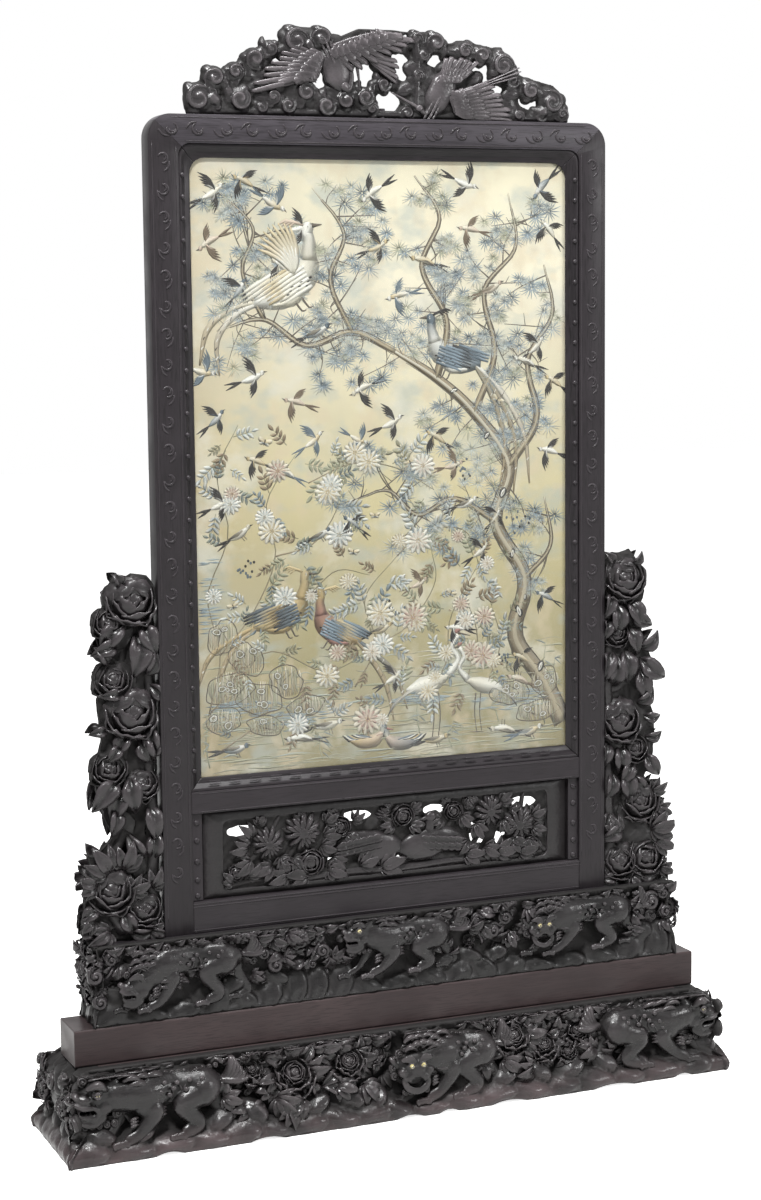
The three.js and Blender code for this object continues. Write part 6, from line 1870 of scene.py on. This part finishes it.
# hollows in the bark, each with a pale ring
for x, z, r, a in (
    (292, 742, 11, 0.4), (250, 842, 12, -0.3), (238, 944, 9, 0.2), (220, 1050, 11, 0.5),
    (190, 1150, 8, 0.7), (128, 1228, 8, 1.2), (-90, 1322, 5, 1.5), (262, 866, 6, 0.1),
    (276, 1200, 5, 0.4),
):
    for long, wide, tone, layer in ((1, 0.62, "dark", 4), (0.82, 0.46, "white", 5),
                                    (0.5, 0.24, "brown", 6)):
        w.oval(x, z, r * long, r * wide, a, tone, None, layer)
for line, _ in boughs + [(trunk[4:], [6])]:
    for _ in range(24):
        px, pz = on_line(line, dice.uniform(0.05, 1.0))
        a, r = dice.uniform(0, TAU), dice.uniform(20, 88)
        ex, ez = px + r * math.cos(a), pz + r * math.sin(a)
        if not (-312 < ex < 312 and 660 < ez < 1580):
            continue
        mx, mz = (px + ex) / 2 + dice.uniform(-8, 8), (pz + ez) / 2
        w.stitch([(px, pz), (mx, mz), (ex, ez)], [1.3, 0.9, 0.5], "edge", "edge", 1, 7)
        w.stitch([(mx, mz), (mx + dice.uniform(-20, 20), mz + dice.uniform(6, 22))], [0.7, 0.4], "edge",
                 None, 1, 3)
        for _ in range(3):
            pompon(ex + dice.uniform(-20, 20), ez + dice.uniform(-15, 15), dice.uniform(15, 27))

# peonies and roses climb at the left and in the middle
stems = [
    [(-322, 700), (-300, 800), (-320, 900), (-282, 1000), (-300, 1100), (-262, 1180)],
    [(-300, 800), (-240, 870), (-200, 960), (-214, 1050), (-160, 1130)],
    [(-200, 960), (-130, 980), (-84, 1050), (-100, 1120)],
    [(-240, 870), (-160, 880), (-92, 930), (-30, 920)], [(-60, 730), (-20, 800), (-40, 880), (20, 950)],
    [(-20, 800), (40, 830), (90, 900), (84, 960)], [(150, 730), (170, 800), (150, 870)],
    [(-140, 1080), (-60, 1110), (20, 1100), (90, 1060)], [(20, 950), (70, 990), (150, 985), (180, 900)],
    [(-322, 700), (-220, 800), (-110, 760), (-20, 800)], [(190, 720), (214, 790), (196, 860)],
    [(60, 690), (110, 760), (120, 840), (180, 940)], [(-300, 640), (-200, 690), (-80, 680), (40, 700)],
]
leaf_tones = (
    ("slate", "haze"), ("sage", "moss"), ("blue", "cream"), ("olive", "moss"), ("brown", "tan"),
    ("haze", "white"), ("slate", "sage"),
)
flower_tones = (
    ("cream", "white", "blush"), ("white", "cream", "gold"), ("gold", "cream", "white"),
    ("blush", "cream", "rose"), ("white", "white", "haze"),
)
for line in stems:
    w.stitch(line, [1.5, 1.2, 0.9, 0.5], "bark", "olive", 1, 20)
    for k in range(13):
        px, pz = on_line(line, dice.uniform(0.05, 1))
        a, r = dice.uniform(0, TAU), dice.uniform(0, 34)
        x, z = px + r * math.cos(a), pz + r * math.sin(a)
        if abs(x) < 306 and z > 640:
            sprig(x, z, dice.uniform(22, 38), a, dice.choice(leaf_tones))
    for k in range(5):
        px, pz = on_line(line, dice.uniform(0.15, 1))
        x, z = min(max(px + dice.uniform(-26, 26), -310), 310), pz + dice.uniform(-20, 20)
        size = dice.uniform(13, 30)
        blossom(x, z, size if k < 3 else 9, dice.choice(flower_tones), 3 if k < 3 else 1)
for x, z in ((-60, 1000), (250, 1000), (140, 1090), (-250, 940), (10, 860), (226, 760)):
    for k in range(14):
        w.oval(x + dice.gauss(0, 12), z + dice.gauss(0, 10), 2.6, 2.2, 0, "slate" if k % 3 else "dark",
               None, 3)

# bamboo and grasses
for x, z, h in ((300, 640, 150), (318, 640, 120), (-322, 612, 90), (60, 640, 80), (-190, 640, 70),
                (210, 650, 60),
                (-120, 610, 50), (120, 612, 46), (-30, 650, 60)):
    w.stitch([(x, z), (x - 6, z + h * 0.5), (x + 4, z + h)], [1.2, 1.0, 0.5], "sage", "moss", 1, 10)
    for k in range(13):
        t = dice.uniform(0.25, 1)
        a = dice.choice([dice.uniform(-0.9, 0.4), dice.uniform(2.7, 4.0)])
        lx, lz = x + 4 * (t - 0.5), z + h * t
        ex = min(max(lx + 22 * math.cos(a), -334), 334)
        w.stitch([(lx, lz), ((lx + ex) / 2, lz + 11 * math.sin(a) + 1), (ex, lz + 22 * math.sin(a))],
                 [0.3, 1.7, 0.2],
                 dice.choice(["slate", "sage", "blue", "olive"]), "moss", 2, 6)


def loop(x, z, a, b, seed, count=12):
    """A closed wavy line about a point"""
    points = []
    for t in TAU * np.arange(count + 1) / count:
        r = 1 + 0.15 * math.sin(2 * t + seed) + 0.09 * math.sin(5 * t + 2 * seed)
        points.append((x + a * r * math.cos(t), z + b * r * math.sin(t)))
    return points


def stone(x, z, a, b, seed):
    """A pierced garden rock: a pale mass with thin dark folds and white-ringed hollows"""
    d = random.Random(seed)
    for k in range(16):
        q = -0.85 + 1.7 * k / 15
        h = b * math.sqrt(1 - q * q)
        w.stitch([(x + a * q, z - h), (x + a * q + d.uniform(-4, 4), z), (x + a * q, z + h)],
                 [0.5, a * 0.09, 0.5],
                 d.choice(["grey", "moss", "tan"]), d.choice(["cream", "moss"]), 1, 6)
    w.stitch(loop(x, z, a, b, seed), [0.9] * 4, "edge", None, 3, 44)
    for k in range(4):
        w.stitch([(x + a * d.uniform(-0.6, 0.6), z - b * 0.6), (x + a * d.uniform(-0.6, 0.6), z),
                  (x + a * d.uniform(-0.5, 0.5), z + b * 0.7)], [0.2, 0.8, 0.2], "edge", None, 2, 8)
    for k in range(d.randrange(2, 5)):
        hx, hz, r = x + d.uniform(-0.55, 0.55) * a, z + d.uniform(-0.5, 0.5) * b, d.uniform(4, 8)
        w.oval(hx, hz, r, r * 0.8, 0.4, "olive", "grey", 4)
        w.stitch(loop(hx, hz, r, r * 0.8, seed + k, 8), [0.5] * 3, "dark", None, 5, 20)
        w.stitch(loop(hx, hz, r * 0.8, r * 0.62, seed + k, 8), [1.0] * 3, "white", None, 6, 20)

for place in (
    (-284, 742, 38, 30, 1), (-232, 722, 36, 30, 2), (-254, 790, 30, 28, 3), (-184, 748, 32, 26, 4),
    (-296, 690, 34, 20, 5), (-150, 704, 34, 18, 6), (286, 664, 38, 20, 7), (232, 700, 34, 24, 8),
    (-222, 676, 34, 16, 10), (300, 716, 28, 24, 11), (-296, 830, 24, 30, 13),
):
    stone(*place)

# the birds
flying = [
    (-300, 1556, 34, 0.5), (-244, 1576, 30, 2.6), (-196, 1540, 34, -0.6), (-150, 1500, 30, 0.2),
    (-306, 1478, 32, 3.6), (-256, 1400, 30, 0.9), (-180, 1438, 32, 2.4), (-18, 1560, 34, -2.6),
    (-10, 1470, 30, 0.4), (28, 1390, 32, 3.3), (150, 1576, 34, -0.4), (160, 1500, 30, 2.9),
    (296, 1572, 34, 3.9), (310, 1500, 30, 2.2), (284, 1300, 30, 0.7), (320, 1240, 28, 2.5),
    (-322, 1268, 32, -0.3), (-236, 1256, 34, 0.3), (-160, 1216, 30, 2.8), (-300, 1190, 28, 0.7),
    (-40, 1236, 32, 3.5), (12, 1176, 32, 0.4), (96, 1150, 30, 2.5), (-50, 1150, 26, -0.5),
    (310, 1120, 30, 2.8), (126, 1100, 28, 0.2), (302, 866, 28, 2.6), (176, 950, 28, 0.6),
    (-296, 1050, 30, 0.4), (-230, 1120, 28, 2.7), (-130, 1150, 30, 0.6), (130, 820, 28, 2.9),
    (60, 900, 26, 0.4), (-60, 1010, 28, 2.4), (206, 1010, 26, 0.9), (10, 740, 28, 0.5),
    (256, 760, 28, 2.6),
]
perched = [
    (-120, 1330, 38, 0.4), (74, 1448, 36, 2.8), (200, 1400, 34, 0.4), (264, 1276, 34, 2.7),
    (150, 1034, 34, 0.3), (-262, 1000, 34, 0.5), (-180, 1100, 32, 2.6), (-120, 992, 32, 0.4),
    (-10, 826, 32, 0.3), (250, 722, 34, 2.7), (-110, 668, 40, 0.1), (-160, 650, 38, 3.0),
    (220, 636, 40, 2.9), (270, 628, 38, 0.2), (-276, 640, 36, 0.1), (90, 628, 36, 0.1),
]
coats = [
    ("white", "dark", "cream"), ("slate", "dark", "white"), ("white", "dark", "white"),
    ("gold", "dark", "cream"), ("cream", "dark", "white"), ("blush", "brown", "cream"),
    ("white", "slate", "gold"),
]
for k, (x, z, size, angle) in enumerate(flying):
    small_bird(x, z, size * 1.36, angle, *coats[k * 3 % len(coats)], True)
for k, (x, z, size, angle) in enumerate(perched):
    small_bird(x, z, size * 1.3, angle, *coats[(k * 2 + 1) % len(coats)], False)
long_tail(128, 1282, 118, 2.9, (
    ((-0.8, -0.35), (-1.25, -0.95), (-1.4, -1.7)), ((-0.8, -0.25), (-1.35, -0.8), (-1.62, -1.5)),
    ((-0.75, -0.42), (-1.1, -1.05), (-1.16, -1.75)),
), "slate", ("slate", "blue", "dark"), "white", ("grey", "white"), "dark", True)
long_tail(-190, 856, 120, 0.25, (
    ((-0.7, -0.15), (-1.0, -0.4), (-1.2, -0.8)), ((-0.7, -0.05), (-1.15, -0.2), (-1.42, -0.55)),
), "gold", ("slate", "dark", "ochre"), "ochre", ("tan", "ochre"), "gold")
long_tail(-92, 826, 108, 2.75, (
    ((-0.7, -0.2), (-1.1, -0.5), (-1.45, -1.0)), ((-0.7, -0.1), (-1.2, -0.3), (-1.6, -0.75)),
), "ochre", ("blue", "slate", "gold"), "rose", ("tan", "slate"), "gold", True)
long_tail(-170, 1404, 150, 0.45, (
    ((-0.7, 0.0), (-1.0, -0.15), (-1.15, -0.5)), ((-0.7, 0.08), (-1.05, 0.0), (-1.3, -0.3)),
), "white", ("white", "cream", "gold"), "cream", ("white", "cream"), "blush")
feathers(-160, 1424, 1.9, 92, 0.9, 9, 5.0, "white", "gold", 8, 0.4)
feathers(-160, 1424, 1.8, 50, 0.9, 7, 5.0, "cream", "white", 9, 0.3)
# cranes and ducks by the water
for x, z, size, g in ((84, 712, 1.45, 1), (176, 706, 1.2, -1)):
    def q(*points):
        return [(x + g * px * size, z + pz * size) for px, pz in points]

    w.stitch(q((-34, 4), (-6, 8), (22, 18)), [2, 12 * size, 11 * size, 4], "white", "cream", 3, 12)
    w.stitch(q((20, 18), (34, 36), (26, 52), (34, 66)), [6 * size, 3.4 * size, 3 * size, 4 * size],
             "white", "white", 4, 12)
    w.stitch(q((34, 68), (50, 64)), [2.2, 0.4], "edge", None, 4)
    w.oval(*q((33, 71))[0], 4 * size, 3 * size, 1.2, "rose", None, 5)
    for k in range(7):
        w.stitch(q((-6 - 3 * k, 10 - k), (-30 - 3 * k, 2 - 2 * k), (-46 - 2 * k, -8 - 3 * k)),
                 [1, 2.6, 0.6], "white",
                 "dark" if k > 3 else "grey", 5, 6)
    for px in (0, 8):
        w.stitch(q((px, -2), (px + 2, -30), (px - 1, -58)), [1.4, 1.0, 0.9], "edge", None, 2, 6)
        w.stitch(q((px - 4, -60), (px + 10, -58)), [0.9, 0.5], "edge", None, 2)
for x, z, d, coat in ((-40, 634, 1, "ochre"), (28, 626, -1, "slate")):
    w.stitch([(x - d * 34, z + 6), (x - d * 10, z), (x + d * 16, z + 2), (x + d * 30, z + 14)],
             [2, 11, 12, 5], coat, "blush", 3, 12)
    w.oval(x + d * 32, z + 20, 8, 7, 0.4 * d, "cream", "slate", 4)
    w.stitch([(x + d * 38, z + 20), (x + d * 50, z + 17)], [2.4, 0.8], "rose", None, 4)
    w.oval(x + d * 34, z + 22, 1.4, 1.4, 0, "dark", None, 6)
    for k in range(7):
        w.stitch([(x + d * (10 - 5 * k), z + 7), (x - d * (8 + 4 * k), z + 10 - k),
                  (x - d * (20 + 4 * k), z + 14)],
                 [0.8, 2.6, 0.6], ["slate", "white", "dark", "gold"][k % 4], None, 5, 5)

# butterflies
for x, z, size, a in ((-216, 1150, 13, 0.3), (46, 1108, 12, -0.4), (-60, 960, 11, 0.2),
                      (210, 1210, 12, 0.6),
                      (-276, 880, 11, -0.3), (120, 880, 11, 0.4), (-20, 1020, 10, 0.0)):
    for sign in (-1, 1):
        for r, up, tone in ((1.0, 0.7, "gold"), (0.7, -0.6, "slate")):
            ang = a + sign * (math.pi / 2 - up * 0.6)
            reach = size * 0.55 * r
            w.oval(x + math.sin(ang) * reach, z + math.cos(ang) * reach, reach, size * 0.34 * r, ang, tone,
                   "cream", 3)
    w.oval(x, z, size * 0.45, size * 0.09, a, "dark", None, 5)
stitches = w.pieces(["silk_embroidery_upper", "silk_embroidery_lower"])

# Room, lights and camera

scene = bpy.context.scene


def floor_finish():
    """A pale floor that the camera sees as nearly white, with the shadow left on it"""
    f = Finish("pale_floor")
    camera, seen = f.camera_rays()
    pale = f.ramp(f.noise(40.0, 3.0), (0.3, "f2f2f0"), (0.7, "f6f6f4"))
    glow = f.math("MAXIMUM", f.math("MULTIPLY", camera, 0.80), f.math("MULTIPLY", seen, 0.25))
    return f.give(Base_Color=f.mix(seen, hexed("8c8c8a"), pale), Roughness=0.9, Emission_Color=(1, 1, 1, 1),
                  Emission_Strength=glow)


bpy.ops.object.select_all(action="DESELECT")
bpy.ops.mesh.primitive_plane_add(size=1)
floor = bpy.context.object
floor.name = "floor"
co = np.array([(-14, -12, -0.0005), (14, -12, -0.0005), (-14, 16, -0.0005), (14, 16, -0.0005)], np.float32)
floor.data.vertices.foreach_set("co", co.ravel())
floor.data.update()
floor.data.materials.append(floor_finish())

world = bpy.data.worlds.new("studio")
scene.world = world
world.use_nodes = True
sky = Nodes(world.node_tree)
white = world.node_tree.nodes["Background"].inputs
white["Color"].default_value = (1, 1, 1, 1)
ROOM_LIGHT = 0.27
sky.feed(white["Strength"], sky.node("MapRange", {"Value": sky.camera_rays()[1], "To Min": ROOM_LIGHT,
                                                  "To Max": 1.0}).outputs[0])


def soft_light(name, at, aim, size, power):
    data = bpy.data.lights.new(name, "AREA")
    data.shape = "RECTANGLE"
    data.size, data.size_y = size
    data.energy = power
    thing = bpy.data.objects.new(name, data)
    scene.collection.objects.link(thing)
    thing.location = at
    thing.rotation_euler = (Vector(aim) - Vector(at)).to_track_quat("-Z", "Y").to_euler()


soft_light("key", (-1.6, -2.4, 4.9), (0, 0, 1.3), (0.75, 0.65), 430)
soft_light("fill", (3.4, -3.6, 2.2), (0, 0, 0.8), (0.9, 0.9), 85)
soft_light("top", (0.4, -0.9, 4.8), (0, 0, 0.2), (1.2, 0.8), 150)

# the camera as it was fitted to the photo, which is 1200 pixels high
CAMERA_PLACE = (-1.5413, -3.6544, 1.3652)
FOCAL_PIXELS = 2347.26
yaw, pitch, roll = (math.radians(a) for a in (22.7285, -7.0383, -0.5908))
ahead = Vector((math.sin(yaw) * math.cos(pitch), math.cos(yaw) * math.cos(pitch), math.sin(pitch)))
level = Vector((math.cos(yaw), -math.sin(yaw), 0))
above = level.cross(ahead)
right = math.cos(roll) * level + math.sin(roll) * above
up = -math.sin(roll) * level + math.cos(roll) * above
lens = bpy.data.cameras.new("camera")
lens.sensor_fit = "AUTO"
lens.sensor_width = 36
lens.lens = 36 * FOCAL_PIXELS / 1200
camera = bpy.data.objects.new("camera", lens)
scene.collection.objects.link(camera)
camera.matrix_world = Matrix.Translation(CAMERA_PLACE) @ Matrix((right, up, -ahead)).transposed().to_4x4()
scene.camera = camera
scene.view_settings.view_transform = "Standard"
